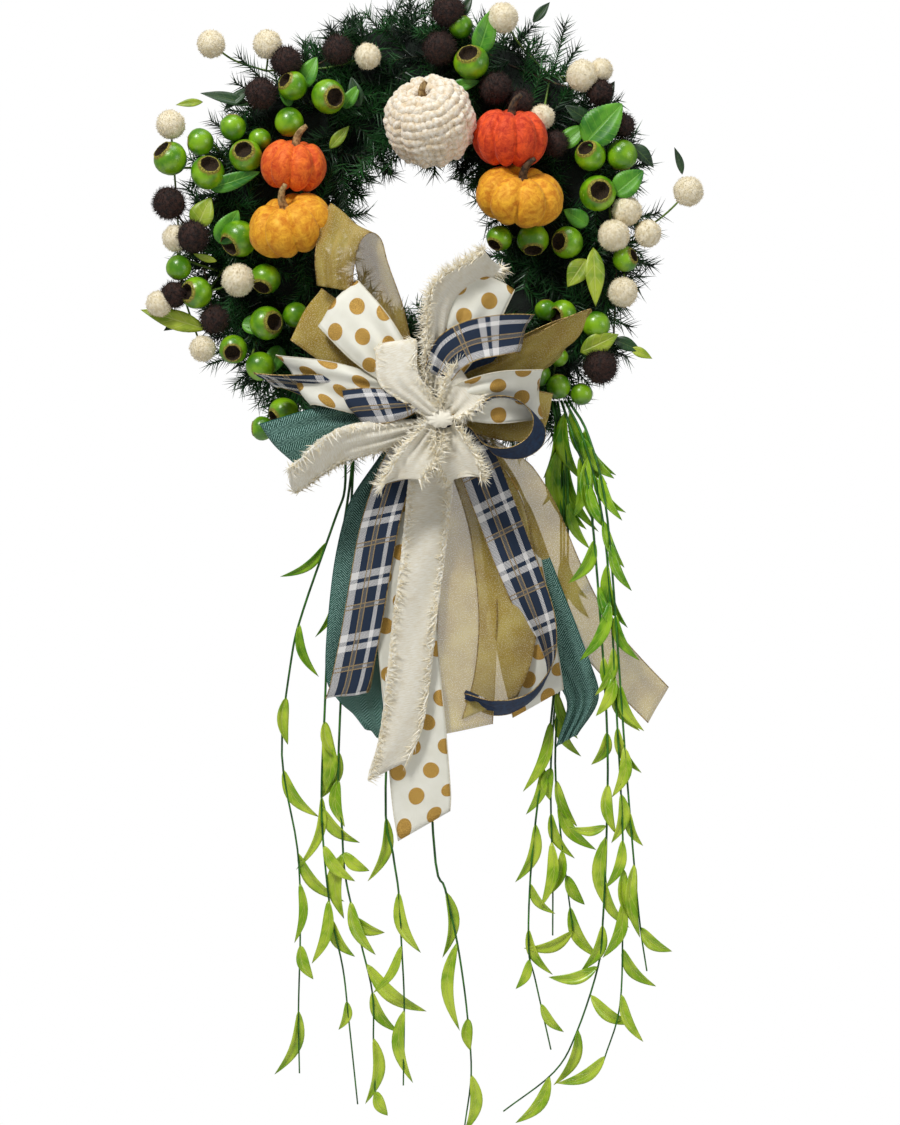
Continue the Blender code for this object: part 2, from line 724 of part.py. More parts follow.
def bow_tie():
    """The twisted wire that binds the bow's core to the ring, through the gap between two bunches."""
    core = bow_centre()
    start = Vector((core.x, BOW_BACK_Y + TIE_WIRE / 2, core.z))
    ring = on_wreath(BOW_CLOCK, 0.0, RING_Y - RING_WIRE / 2 - TIE_WIRE / 2 - TOUCH_GAP)
    place(wire_curve("bow_tie", [start, ring], TIE_WIRE, sides=8), PARTS, "frame_wire")


def bow_core():
    """The gathered core that the ribbon's loops are bound around."""
    bm = bmesh.new()
    bmesh.ops.create_cone(
        bm,
        cap_ends=True,
        segments=16,
        radius1=BOW_CORE_RADIUS,
        radius2=BOW_CORE_RADIUS,
        depth=CORE_LENGTH,
    )
    core = mesh_object("bow_core", bm)
    core.rotation_euler = (math.pi / 2, 0.0, 0.0)
    core.location = bow_centre() + Vector((0.0, -CORE_LENGTH / 2, 0.0))
    place(core, PARTS, "ivory_silk", 40)


def flat_outline(name, loops, thick, location):
    """A flat piece that faces the front, from closed outlines given as (across, up) from its location."""
    data = bpy.data.curves.new(name, "CURVE")
    data.dimensions = "2D"
    data.fill_mode = "BOTH"
    data.extrude = thick / 2
    for loop in loops:
        spline = data.splines.new("POLY")
        spline.points.add(len(loop) - 1)
        for point, (across, up) in zip(spline.points, loop):
            point.co = (across, up, 0.0, 1.0)
        spline.use_cyclic_u = True
    flat = bpy.data.objects.new(name, data)
    flat.rotation_euler = (math.pi / 2, 0.0, 0.0)
    flat.location = location
    return flat


def petal_reach(clock, loops):
    """How far the ribbon's loops reach from the bow's centre at a clock angle."""
    reach = BOW_HUB_RADIUS
    for middle, length, half in loops:
        off = abs((clock - middle + 180) % 360 - 180) / half
        if off < 1:
            reach = max(reach, length * BOW_SCALE * math.cos(math.pi / 2 * off) ** 0.55)
    return reach


def bow_loops():
    """One layer for each ribbon: its loops stand out around the core like petals."""
    centre = bow_centre()
    corner = (BOW_CORE_RADIUS + LAYER_GAP) / math.cos(math.pi / 12)
    turns = [math.radians(angle) for angle in range(0, 360, 30)]
    hole = [(corner * math.cos(turn), corner * math.sin(turn)) for turn in turns]
    for index, (key, (material, loops)) in enumerate(BOW_RIBBONS.items()):
        outline = []
        for clock in range(0, 360, BOW_OUTLINE_STEP_DEG):
            reach = petal_reach(clock, loops)
            outline.append((reach * math.sin(math.radians(clock)), reach * math.cos(math.radians(clock))))
        y = -BOW_LAYER * (index + 0.5)
        layer = flat_outline(
            f"bow_loops_{key}", [outline, hole], BOW_LAYER - LAYER_GAP, centre + Vector((0.0, y, 0.0))
        )
        place(layer, PARTS, material)


def tail_outline(route, width, slant):
    """The outline of a ribbon's tail: pinched at the core, then its full width, with a slanted end."""
    line = smooth_points([Vector((across, -down)) for across, down in route], 3)
    left, right = [], []
    run = 0.0
    for index, point in enumerate(line):
        before, after = line[max(index - 1, 0)], line[min(index + 1, len(line) - 1)]
        along = (after - before).normalized()
        side = Vector((-along.y, along.x))
        if index:
            run += (point - line[index - 1]).length
        half = 0.5 * (TAIL_PINCH + (width - TAIL_PINCH) * min(1.0, run / TAIL_OPEN_LENGTH))
        end = slant / 2 if index == len(line) - 1 else 0.0
        left.append(tuple(point + side * half + along * end))
        right.append(tuple(point - side * half - along * end))
    return left + right[::-1]


def tails():
    """The ribbon's tails, each hanging in its own layer behind the loops, and swinging about the core."""
    hinge = bow_centre()
    for key, (material, layer, width, slant, route) in TAILS.items():
        scaled = [(across, down * TAIL_LENGTH_SCALE) for across, down in route]
        y = TAIL_FIRST_Y - TAIL_LAYER * layer
        outline = tail_outline(scaled, width, slant)
        tail = flat_outline(f"tail_{key}", [outline], RIBBON_THICK, Vector((hinge.x, y, hinge.z)))
        place(tail, PARTS, material)


def leaf_blade(name, root, tilt, length):
    """A vine's leaf: a flat pointed oval that hangs from its root at a tilt."""
    bm = bmesh.new()
    bmesh.ops.create_cone(bm, cap_ends=True, segments=6, radius1=1.0, radius2=1.0, depth=1.0)
    for vert in bm.verts:
        taper = 1.0 - 0.35 * vert.co.x**2
        vert.co = (vert.co.x * length / 2, vert.co.y * taper * LEAF_WIDTH / 2, vert.co.z * VINE_LEAF_THICK)
    blade = mesh_object(name, bm)
    angle = math.radians(tilt)
    along = Vector((math.sin(angle), 0.0, -math.cos(angle)))
    turn = Matrix.Rotation(math.pi / 2 - angle, 4, "Y") @ Matrix.Rotation(math.pi / 2, 4, "X")
    blade.matrix_world = Matrix.Translation(root + along * length * 0.45) @ turn
    return blade


def stem_at(points, down):
    """The point of a hanging stem at a distance below its hinge."""
    for upper, lower in zip(points, points[1:]):
        if lower.z <= -down <= upper.z:
            share = (upper.z + down) / (upper.z - lower.z)
            return upper.lerp(lower, share)
    return points[-1].copy()


def vines():
    """The trailing vines: thin stems with hanging leaves, in bunches that swing from the wreath's face."""
    for name, (body, layer, strands) in VINES.items():
        clock, reach, start = VINE_BUNCHES[body]
        hinge = on_wreath(clock, reach, VINE_FIRST_Y - VINE_LAYER * layer)
        shapes = []
        for number, (route, leaves) in enumerate(strands):
            corners = [Vector((start + across, 0.0, -down * VINE_LENGTH_SCALE)) for across, down in route]
            shapes.append(as_mesh(wire_curve(f"{name}_stem_{number}", corners, VINE_WIRE)))
            for index, (down, tilt, length) in enumerate(leaves):
                root = stem_at(corners, down * VINE_LENGTH_SCALE)
                shapes.append(leaf_blade(f"{name}_leaf_{number}_{index}", root, tilt, length))
        base = shapes[0]
        base.name = name
        base.data.name = name
        for shape in shapes:
            shape.location = shape.location + hinge
        unite(place(base, PARTS, "vine_green"), shapes[1:])


def main():
    start_scene()
    frame_ring()
    hanger_loop()
    pine_bunches()
    pod_picks()
    pom_sprays(CREAM_SPRAYS, "cream", CREAM_STEM_Y)
    pom_sprays(BROWN_SPRAYS, "brown", BROWN_STEM_Y)
    pumpkins()
    bow_tie()
    bow_core()
    bow_loops()
    tails()
    vines()


main()
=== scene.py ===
"""Dress the harvest door wreath: pine, pods, pom-poms, pumpkins, ribbon bow and vines over its frame."""

import json  # noqa: E402
import logging  # noqa: E402
import math  # noqa: E402
import random  # noqa: E402
from dataclasses import dataclass, field, replace  # noqa: E402
from enum import Enum  # noqa: E402
from typing import Any  # noqa: E402

import bmesh  # noqa: E402
import bpy  # noqa: E402
from mathutils import Matrix, Vector, noise  # noqa: E402


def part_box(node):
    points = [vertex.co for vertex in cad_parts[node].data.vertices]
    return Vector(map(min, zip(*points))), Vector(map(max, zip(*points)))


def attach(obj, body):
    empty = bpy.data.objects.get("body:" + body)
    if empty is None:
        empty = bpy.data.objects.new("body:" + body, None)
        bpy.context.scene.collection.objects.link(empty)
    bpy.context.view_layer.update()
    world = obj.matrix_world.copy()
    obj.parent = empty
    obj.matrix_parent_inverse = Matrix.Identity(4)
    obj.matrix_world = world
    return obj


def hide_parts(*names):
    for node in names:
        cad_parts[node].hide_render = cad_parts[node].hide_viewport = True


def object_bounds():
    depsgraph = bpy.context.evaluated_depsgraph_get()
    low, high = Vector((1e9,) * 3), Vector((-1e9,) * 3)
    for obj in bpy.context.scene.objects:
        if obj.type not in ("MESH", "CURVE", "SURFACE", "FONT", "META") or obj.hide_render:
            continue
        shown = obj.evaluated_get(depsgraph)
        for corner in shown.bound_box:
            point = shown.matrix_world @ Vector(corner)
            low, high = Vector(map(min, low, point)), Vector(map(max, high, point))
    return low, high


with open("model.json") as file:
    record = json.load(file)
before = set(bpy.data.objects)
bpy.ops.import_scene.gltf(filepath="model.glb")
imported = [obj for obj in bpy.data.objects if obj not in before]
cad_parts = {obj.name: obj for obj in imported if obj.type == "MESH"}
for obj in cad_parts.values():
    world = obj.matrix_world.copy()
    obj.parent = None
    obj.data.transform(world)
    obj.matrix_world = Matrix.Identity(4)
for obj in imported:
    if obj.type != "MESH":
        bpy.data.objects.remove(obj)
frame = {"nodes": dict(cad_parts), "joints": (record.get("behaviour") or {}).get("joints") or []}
CAD_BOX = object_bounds()

log = logging.getLogger("wreath")
Colour = tuple[float, float, float, float]
MM = 0.001
SRGB_KNEE = 0.04045
X_AXIS, Y_AXIS, Z_AXIS = (1.0, 0.0, 0.0), (0.0, 1.0, 0.0), (0.0, 0.0, 1.0)


def paint(red: int, green: int, blue: int) -> Colour:
    """A paint's colour for a shader.

    Args:
        red, green, blue: The colour as seen on a screen, each from 0 to 255.

    Returns:
        The same colour as linear light, with full opacity.
    """
    shares = [part / 255 for part in (red, green, blue)]
    linear = [((share + 0.055) / 1.055) ** 2.4 if share > SRGB_KNEE else share / 12.92 for share in shares]
    return (linear[0], linear[1], linear[2], 1.0)


class Body(Enum):
    """The rigid bodies that pieces ride on."""

    WREATH = "wreath"
    TAILS = "tails"
    VINES_LEFT = "vines_left"
    VINES_CENTRE = "vines_centre"
    VINES_RIGHT = "vines_right"


# ---------------------------------------------------------------- node graphs


class Graph:
    """A node tree with short calls for its nodes and links."""

    def __init__(self, tree: bpy.types.NodeTree) -> None:
        """Wrap a tree.

        Args:
            tree: The node tree to build in.
        """
        self.tree = tree

    def feed(self, socket: bpy.types.NodeSocket, value: Any) -> None:
        """Link a socket, or set its own value.

        Args:
            socket: The input to feed.
            value: Another node's output, or a plain value.
        """
        if isinstance(value, bpy.types.NodeSocket):
            self.tree.links.new(value, socket)
        else:
            socket.default_value = value

    def add(self, kind: str, inputs: dict[Any, Any] | None = None, **settings: Any) -> bpy.types.Node:
        """Add a node.

        Args:
            kind: The node's type name.
            inputs: Values or outputs for its inputs, by name or number.
            **settings: The node's own settings.

        Returns:
            The new node.
        """
        node = self.tree.nodes.new(kind)
        for name, value in settings.items():
            setattr(node, name, value)
        for key, value in (inputs or {}).items():
            self.feed(node.inputs[key], value)
        return node

    def math(self, operation: str, *terms: Any) -> bpy.types.NodeSocket:
        """One step of arithmetic.

        Args:
            operation: The Math node's operation.
            *terms: Numbers or outputs.

        Returns:
            The result's socket.
        """
        return self.add("ShaderNodeMath", dict(enumerate(terms)), operation=operation).outputs[0]

    def plus(self, first: Any, second: Any) -> bpy.types.NodeSocket:
        """Add two numbers.

        Args:
            first, second: Numbers or outputs.

        Returns:
            The sum's socket.
        """
        return self.math("ADD", first, second)

    def times(self, first: Any, second: Any) -> bpy.types.NodeSocket:
        """Multiply two numbers.

        Args:
            first, second: Numbers or outputs.

        Returns:
            The product's socket.
        """
        return self.math("MULTIPLY", first, second)

    def most(self, *terms: Any) -> bpy.types.NodeSocket:
        """The largest of several numbers.

        Args:
            *terms: Numbers or outputs.

        Returns:
            The largest one's socket.
        """
        found = terms[0]
        for term in terms[1:]:
            found = self.math("MAXIMUM", found, term)
        return found

    def flat(self, vector: Any) -> tuple[bpy.types.NodeSocket, bpy.types.NodeSocket]:
        """The first two coordinates of a vector.

        Args:
            vector: The vector's socket.

        Returns:
            Their two sockets.
        """
        parts = self.add("ShaderNodeSeparateXYZ", {0: vector})
        return parts.outputs[0], parts.outputs[1]

    def mix(self, factor: Any, low: Any, high: Any) -> bpy.types.NodeSocket:
        """Blend two colours.

        Args:
            factor: 0 for the first colour, 1 for the second.
            low, high: The two colours.

        Returns:
            The blended colour's socket.
        """
        return self.add("ShaderNodeMix", {0: factor, 6: low, 7: high}, data_type="RGBA").outputs[2]

    def noise(self, vector: Any, scale: Any, detail: float = 3.0, rough: float = 0.5) -> bpy.types.NodeSocket:
        """Smooth noise from 0 to 1.

        Args:
            vector: Where it is read.
            scale: Cells per metre.
            detail: Octaves.
            rough: Share that each octave keeps.

        Returns:
            The noise value's socket.
        """
        values = {"Vector": vector, "Scale": scale, "Detail": detail, "Roughness": rough}
        return self.add("ShaderNodeTexNoise", values).outputs[0]

    def ramp(self, value: Any, low: float, high: float) -> bpy.types.NodeSocket:
        """Stretch a range to 0 to 1, smoothly and clamped.

        Args:
            value: The number to stretch.
            low, high: What becomes 0 and what becomes 1.

        Returns:
            The stretched value's socket.
        """
        inputs = {"Value": value, 1: low, 2: high}
        return self.add("ShaderNodeMapRange", inputs, interpolation_type="SMOOTHSTEP").outputs[0]

    def within(self, value: Any, middle: float, half: float) -> bpy.types.NodeSocket:
        """1 where a value is no further than half from the middle, and 0 elsewhere.

        Args:
            value: The number tested.
            middle, half: The band's middle and half width.

        Returns:
            The mask's socket.
        """
        return self.math("COMPARE", value, middle, half)


def new_group(name: str, inputs: dict[str, str], outputs: dict[str, str]) -> tuple[Graph, Any, Any]:
    """Start a shader node group.

    Args:
        name: The group's name.
        inputs, outputs: Socket types by name, such as "Float" or "Color".

    Returns:
        Its graph, its input node and its output node.
    """
    tree = bpy.data.node_groups.new(name, "ShaderNodeTree")
    for sockets, way in ((inputs, "INPUT"), (outputs, "OUTPUT")):
        for label, kind in sockets.items():
            tree.interface.new_socket(label, in_out=way, socket_type=f"NodeSocket{kind}")
    graph = Graph(tree)
    return graph, graph.add("NodeGroupInput"), graph.add("NodeGroupOutput")


class Effects:
    """Shader groups that several finishes share, each built on first use."""

    built: dict[str, bpy.types.NodeTree] = {}

    @classmethod
    def mottle(cls) -> bpy.types.NodeTree:
        """Blotches of two colours with fine grain over them."""
        if "mottle" not in cls.built:
            sockets = {"Vector": "Vector", "Scale": "Float", "Low": "Color", "High": "Color"}
            graph, start, end = new_group("mottle", sockets, {"Colour": "Color", "Height": "Float"})
            broad = graph.noise(start.outputs["Vector"], start.outputs["Scale"], 4.0)
            mask = graph.ramp(broad, 0.35, 0.65)
            graph.feed(end.inputs["Colour"], graph.mix(mask, start.outputs["Low"], start.outputs["High"]))
            graph.feed(end.inputs["Height"], graph.noise(start.outputs["Vector"], 900.0, 2.0))
            cls.built["mottle"] = graph.tree
        return cls.built["mottle"]

    @classmethod
    def crush(cls) -> bpy.types.NodeTree:
        """The lighter and darker patches of a pressed velvet pile; the velvet paints the lighter ones as
        painted sheen.
        """
        if "crush" not in cls.built:
            graph, start, end = new_group("crush", {"Vector": "Vector"}, {"Pile": "Float", "Height": "Float"})
            place = start.outputs["Vector"]
            bend = graph.add("ShaderNodeTexNoise", {"Vector": place, "Scale": 70.0, "Detail": 2.0})
            amount = {0: bend.outputs["Color"], 1: (0.02, 0.02, 0.02)}
            shifted = graph.add("ShaderNodeVectorMath", amount, operation="MULTIPLY")
            moved = graph.add("ShaderNodeVectorMath", {0: place, 1: shifted.outputs[0]}, operation="ADD")
            pile = graph.noise(moved.outputs[0], 120.0, 6.0, 0.72)
            graph.feed(end.inputs["Pile"], graph.ramp(pile, 0.30, 0.74))
            grain = graph.times(graph.noise(place, 1500.0), 0.3)
            graph.feed(end.inputs["Height"], graph.plus(pile, grain))
            cls.built["crush"] = graph.tree
        return cls.built["crush"]

    @classmethod
    def weave(cls) -> bpy.types.NodeTree:
        """Crossed threads of a woven ribbon, read from its unrolled coordinates in metres."""
        if "weave" not in cls.built:
            graph, start, end = new_group(
                "weave", {"Vector": "Vector", "Pitch": "Float"}, {"Height": "Float"},
            )
            turns = graph.math("DIVIDE", 2 * math.pi, start.outputs["Pitch"])
            waves = [
                graph.math("SINE", graph.times(part, turns)) for part in graph.flat(start.outputs["Vector"])
            ]
            graph.feed(end.inputs["Height"], graph.times(*waves))
            cls.built["weave"] = graph.tree
        return cls.built["weave"]


class Coat(Graph):
    """A material being mixed, with its Principled shader at hand."""

    def __init__(self, name: str) -> None:
        """Start a material.

        Args:
            name: The material's name.
        """
        self.material = bpy.data.materials.new(name)
        self.material.use_nodes = True
        super().__init__(self.material.node_tree)
        self.shader = self.tree.nodes["Principled BSDF"]

    def where(self) -> bpy.types.NodeSocket:
        """The point on the piece in metres."""
        return self.add("ShaderNodeTexCoord").outputs["Object"]

    def unrolled(self) -> bpy.types.NodeSocket:
        """The point on the unrolled cloth or leaf, from the piece's own UV map."""
        return self.add("ShaderNodeUVMap", uv_map="UVMap").outputs["UV"]

    def group(self, tree: bpy.types.NodeTree, inputs: dict[str, Any]) -> bpy.types.Node:
        """Place a shared effect.

        Args:
            tree: The effect's group.
            inputs: Values for its inputs.

        Returns:
            The group node.
        """
        node = self.add("ShaderNodeGroup", node_tree=tree)
        for name, value in inputs.items():
            self.feed(node.inputs[name], value)
        return node

    def spots(self, scale: float, low: Colour, high: Colour) -> bpy.types.Node:
        """Blotches of two colours over the piece.

        Args:
            scale: Blotches per metre.
            low, high: The two colours.

        Returns:
            The node, with its Colour and its Height.
        """
        return self.group(
            Effects.mottle(), {"Vector": self.where(), "Scale": scale, "Low": low, "High": high},
        )

    def threads(self, place: Any, pitch: float) -> bpy.types.NodeSocket:
        """The height of a cloth's crossed threads.

        Args:
            place: The point on the unrolled cloth.
            pitch: The distance between threads in metres.

        Returns:
            The height's socket.
        """
        return self.group(Effects.weave(), {"Vector": place, "Pitch": pitch}).outputs["Height"]

    def wear(self, **inputs: Any) -> None:
        """Set the shader's inputs.

        Args:
            **inputs: Values by input name, with _ for a space.
        """
        for name, value in inputs.items():
            self.feed(self.shader.inputs[name.replace("_", " ")], value)

    def bump(self, height: Any, distance: float, strength: float = 1.0) -> None:
        """Raise the surface's grain.

        Args:
            height: The height's socket.
            distance: The depth of the grain in metres.
            strength: How strongly it shows.
        """
        node = self.add("ShaderNodeBump", {"Strength": strength, "Distance": distance, "Height": height})
        self.feed(self.shader.inputs["Normal"], node.outputs[0])


# ---------------------------------------------------------------- finishes


@dataclass(frozen=True)
class Finish:
    """A finish of the wreath, mixed once and shared by its pieces."""

    name: str

    def mix_coat(self, coat: Coat) -> None:
        """Fill in the material's nodes.

        Args:
            coat: The material being mixed.
        """

    def material(self) -> bpy.types.Material:
        """The finish's material, made on first use."""
        found = bpy.data.materials.get("finish_" + self.name)
        if found is None:
            coat = Coat("finish_" + self.name)
            self.mix_coat(coat)
            found = coat.material
        return found


@dataclass(frozen=True)
class MottledFinish(Finish):
    """A plain skin in two close colours, such as a leaf's plastic, bark or painted wire."""

    low: Colour
    high: Colour
    scale: float = 60.0
    rough: float = 0.5
    metal: float = 0.0
    grain: float = 0.00015
    coat_weight: float = 0.0
    sheen: float = 0.0

    def mix_coat(self, coat: Coat) -> None:
        """Blotches of the two colours with fine grain.

        Args:
            coat: The material being mixed.
        """
        spots = coat.spots(self.scale, self.low, self.high)
        coat.wear(Base_Color=spots.outputs["Colour"], Roughness=self.rough, Metallic=self.metal)
        coat.wear(Coat_Weight=self.coat_weight, Sheen_Weight=self.sheen)
        coat.bump(spots.outputs["Height"], self.grain)


@dataclass(frozen=True)
class PodSkinFinish(Finish):
    """The pods' glossy green skin, paler where it was sprayed thin, browned round the mouth and darkened
    towards its foot by painted shade.
    """

    def mix_coat(self, coat: Coat) -> None:
        """Green with paler speckles, browned by the pod's own height near the mouth, with painted shade
        darkening the foot.

        Args:
            coat: The material being mixed.
        """
        spots = coat.spots(55.0, paint(74, 132, 6), paint(134, 184, 20))
        _, height = coat.flat(coat.unrolled())
        brown = coat.ramp(coat.plus(height, coat.times(coat.noise(coat.where(), 300.0), 0.16)), 0.98, 1.10)
        speck = coat.ramp(coat.noise(coat.where(), 420.0, 2.0), 0.66, 0.74)
        green = coat.mix(coat.times(speck, 0.5), spots.outputs["Colour"], paint(196, 214, 110))
        # Painted shade: the foot, away from the mouth, is darkened towards deep green.
        foot = coat.ramp(height, 0.42, 0.0)
        deep = coat.mix(coat.times(foot, 0.65), green, paint(38, 92, 10))
        coat.wear(Base_Color=coat.mix(brown, deep, paint(128, 116, 34)), Roughness=0.28, Coat_Weight=0.35)
        coat.wear(Coat_Roughness=0.2)
        coat.bump(spots.outputs["Height"], 0.0002)


@dataclass(frozen=True)
class VelvetFinish(Finish):
    """Crushed velvet: a deep ground with a shinier pile where it is pressed, painted paler as painted sheen.
    """

    ground: Colour
    pile: Colour

    def mix_coat(self, coat: Coat) -> None:
        """The two tones of the pile, the paler one painted sheen, with a soft sheen in the shader.

        Args:
            coat: The material being mixed.
        """
        crush = coat.group(Effects.crush(), {"Vector": coat.where()})
        # Painted sheen: the pressed pile's paler colour stands in for the light it catches; the crushed
        # pattern is the fabric's own.
        colour = coat.mix(crush.outputs["Pile"], self.ground, self.pile)
        rough = coat.math("SUBTRACT", 0.85, coat.times(crush.outputs["Pile"], 0.3))
        coat.wear(Base_Color=colour, Roughness=rough, Sheen_Weight=0.08, Sheen_Roughness=0.4)
        coat.bump(crush.outputs["Height"], 0.0004)


@dataclass(frozen=True)
class GoldMeshFinish(Finish):
    """Sheer gold ribbon: fine metallic threads with light between them."""

    solid: float = 0.86

    def mix_coat(self, coat: Coat) -> None:
        """Metallic threads over a thin ground, glinting in patches.

        Args:
            coat: The material being mixed.
        """
        place = coat.unrolled()
        threads = coat.threads(place, 0.0011)
        patch = coat.ramp(coat.noise(place, 24.0, 2.0), 0.25, 0.80)
        # Painted glints: fine near-white specks mixed into the colour, standing in for the threads' sparkle.
        painted_glint = coat.ramp(coat.noise(place, 900.0, 1.0), 0.52, 0.66)
        colour = coat.mix(patch, paint(180, 144, 34), paint(226, 202, 98))
        colour = coat.mix(coat.times(painted_glint, 0.75), colour, paint(252, 242, 200))
        alpha = coat.plus(self.solid, coat.times(threads, 0.12))
        coat.wear(Base_Color=colour, Metallic=0.15, Roughness=0.42, Alpha=alpha)
        coat.bump(threads, 0.0002)


@dataclass(frozen=True)
class PolkaFinish(Finish):
    """Cream satin ribbon with staggered gold glitter dots."""

    across: float = 0.0355
    along: float = 0.0520
    radius: float = 0.0087
    soft: float = 0.0003

    def mix_coat(self, coat: Coat) -> None:
        """Dots on two square lattices, half a step apart.

        Args:
            coat: The material being mixed.
        """
        place = coat.unrolled()
        reach = []
        for shift in (0.25, -0.25):
            squares = []
            for part, step in zip(coat.flat(place), (self.across, self.along)):
                off = coat.math("WRAP", coat.plus(part, step * shift), step / 2, -step / 2)
                squares.append(coat.times(off, off))
            reach.append(coat.math("SQRT", coat.plus(*squares)))
        dots = coat.ramp(coat.math("MINIMUM", *reach), self.radius + self.soft, self.radius - self.soft)
        flakes = coat.noise(place, 2300.0, 2.0)
        gold = coat.mix(coat.ramp(flakes, 0.40, 0.62), paint(142, 98, 34), paint(232, 190, 96))
        shade = coat.mix(coat.noise(place, 60.0), paint(226, 224, 206), paint(246, 245, 234))
        coat.wear(Base_Color=coat.mix(dots, shade, gold), Metallic=coat.times(dots, 0.55))
        coat.wear(Roughness=coat.math("SUBTRACT", 0.5, coat.times(dots, 0.12)))
        threads = coat.threads(place, 0.0007)
        coat.bump(coat.plus(coat.times(dots, flakes), coat.times(threads, 0.15)), 0.0004)


@dataclass(frozen=True)
class PlaidFinish(Finish):
    """Navy and white twill plaid ribbon with double gold lines.

    Each white band is its middle and half width in metres. repeat is the pattern's length along the ribbon,
    hatch the distance between slanting threads, and line half the width of a gold line.
    """

    width: float = 0.038
    repeat: float = 0.068
    hatch: float = 0.0019
    bands_across: tuple[tuple[float, float], ...] = ((0.0045, 0.0040), (0.0340, 0.0022))
    bands_along: tuple[tuple[float, float], ...] = ((0.0372, 0.0040), (0.0490, 0.0034))
    lines_along: tuple[float, float] = (0.0015, 0.0060)
    line_gap: float = 0.0023
    line: float = 0.0006

    def mix_coat(self, coat: Coat) -> None:
        """White bands each way over navy, hatched where only one runs, and gold lines on top.

        Args:
            coat: The material being mixed.
        """
        place = coat.unrolled()
        across, run = coat.flat(place)
        along = coat.math("WRAP", run, self.repeat, 0.0)
        middle = self.width / 2
        bands = [
            coat.most(*(coat.within(way, spot, half) for spot, half in stripes))
            for way, stripes in ((across, self.bands_across), (along, self.bands_along))
        ]
        hatch = coat.math("FRACT", coat.math("DIVIDE", coat.plus(across, run), self.hatch))
        hatched = coat.times(coat.math("GREATER_THAN", hatch, 0.42), coat.most(*bands))
        white = coat.most(hatched, coat.times(*bands))
        lines = [coat.within(across, middle + side * self.line_gap, self.line) for side in (-1, 1)]
        lines += [coat.within(along, spot, self.line) for spot in self.lines_along]
        gold = coat.most(*lines)
        grey = coat.most(
            coat.within(across, middle, 0.0017), coat.within(along, sum(self.lines_along) / 2, 0.0017),
        )
        grey = coat.times(grey, coat.math("GREATER_THAN", hatch, 0.5))
        colour = coat.mix(coat.times(grey, 0.8), paint(6, 36, 66), paint(140, 136, 128))
        colour = coat.mix(white, colour, paint(244, 242, 240))
        flakes = coat.noise(place, 2000.0, 1.0)
        thread = coat.mix(coat.ramp(flakes, 0.4, 0.6), paint(120, 98, 66), paint(206, 184, 140))
        coat.wear(Base_Color=coat.mix(gold, colour, thread), Metallic=coat.times(gold, 0.5), Roughness=0.65)
        coat.bump(coat.plus(coat.threads(place, 0.0008), coat.times(gold, 2.0)), 0.00015)


@dataclass(frozen=True)
class HerringboneFinish(Finish):
    """Dark teal ribbon with pale herringbone threads."""

    stripe: float = 0.0078
    pitch: float = 0.0026

    def mix_coat(self, coat: Coat) -> None:
        """Fine slanting threads that turn back at each stripe.

        Args:
            coat: The material being mixed.
        """
        place = coat.unrolled()
        across, along = coat.flat(place)
        turned = coat.math("PINGPONG", across, self.stripe)
        phase = coat.math("FRACT", coat.math("DIVIDE", coat.plus(turned, along), self.pitch))
        thread = coat.math("GREATER_THAN", phase, 0.58)
        worn = coat.times(thread, coat.ramp(coat.noise(place, 500.0), 0.25, 0.6))
        ground = coat.mix(coat.noise(place, 45.0), paint(2, 46, 38), paint(8, 72, 58))
        coat.wear(Base_Color=coat.mix(coat.times(worn, 0.9), ground, paint(150, 196, 184)), Roughness=0.75)
        coat.bump(phase, 0.0002)


@dataclass(frozen=True)
class SilkFinish(Finish):
    """Slubbed ivory silk with uneven threads running across it."""

    def mix_coat(self, coat: Coat) -> None:
        """Long slubs and a soft sheen.

        Args:
            coat: The material being mixed.
        """
        place = coat.unrolled()
        stretch = coat.add("ShaderNodeMapping", {0: place, 3: (0.12, 1.0, 1.0)})
        slub = coat.noise(stretch.outputs[0], 1100.0, 4.0, 0.6)
        patch = coat.noise(place, 60.0, 3.0)
        colour = coat.mix(coat.ramp(slub, 0.3, 0.7), paint(234, 225, 200), paint(253, 250, 238))
        colour = coat.mix(coat.times(coat.ramp(patch, 0.5, 0.8), 0.35), colour, paint(196, 172, 122))
        coat.wear(Base_Color=colour, Roughness=0.6, Sheen_Weight=0.4, Sheen_Roughness=0.35)
        coat.bump(coat.plus(slub, coat.times(coat.threads(place, 0.0010), 0.25)), 0.0006)


@dataclass(frozen=True)
class LeafFinish(Finish):
    """A printed leaf: green with a pale midrib and side veins, read along and across the blade."""

    low: Colour
    high: Colour
    vein: Colour
    pairs: float = 7.0
    rough: float = 0.42

    def mix_coat(self, coat: Coat) -> None:
        """The veins over mottled green.

        Args:
            coat: The material being mixed.
        """
        across, along = coat.flat(coat.unrolled())
        off = coat.math("ABSOLUTE", across)
        slant = coat.math("SUBTRACT", coat.times(along, self.pairs), coat.times(off, 1.1))
        side = coat.times(coat.within(coat.math("FRACT", slant), 0.5, 0.07), 0.6)
        rib = coat.ramp(off, 0.10, 0.03)
        veins = coat.most(side, rib)
        spots = coat.spots(40.0, self.low, self.high)
        coat.wear(Base_Color=coat.mix(coat.times(veins, 0.6), spots.outputs["Colour"], self.vein))
        coat.wear(Roughness=self.rough)
        coat.bump(coat.times(veins, -1.0), 0.0004)


WIRE = MottledFinish("frame_wire", paint(48, 56, 44), paint(92, 98, 84), 200.0, 0.4, 0.8)
NEEDLES = MottledFinish("needles", paint(6, 28, 15), paint(42, 96, 44), 30.0, 0.42)
TWIG = MottledFinish("twig", paint(24, 30, 14), paint(52, 60, 30), 120.0, 0.7)
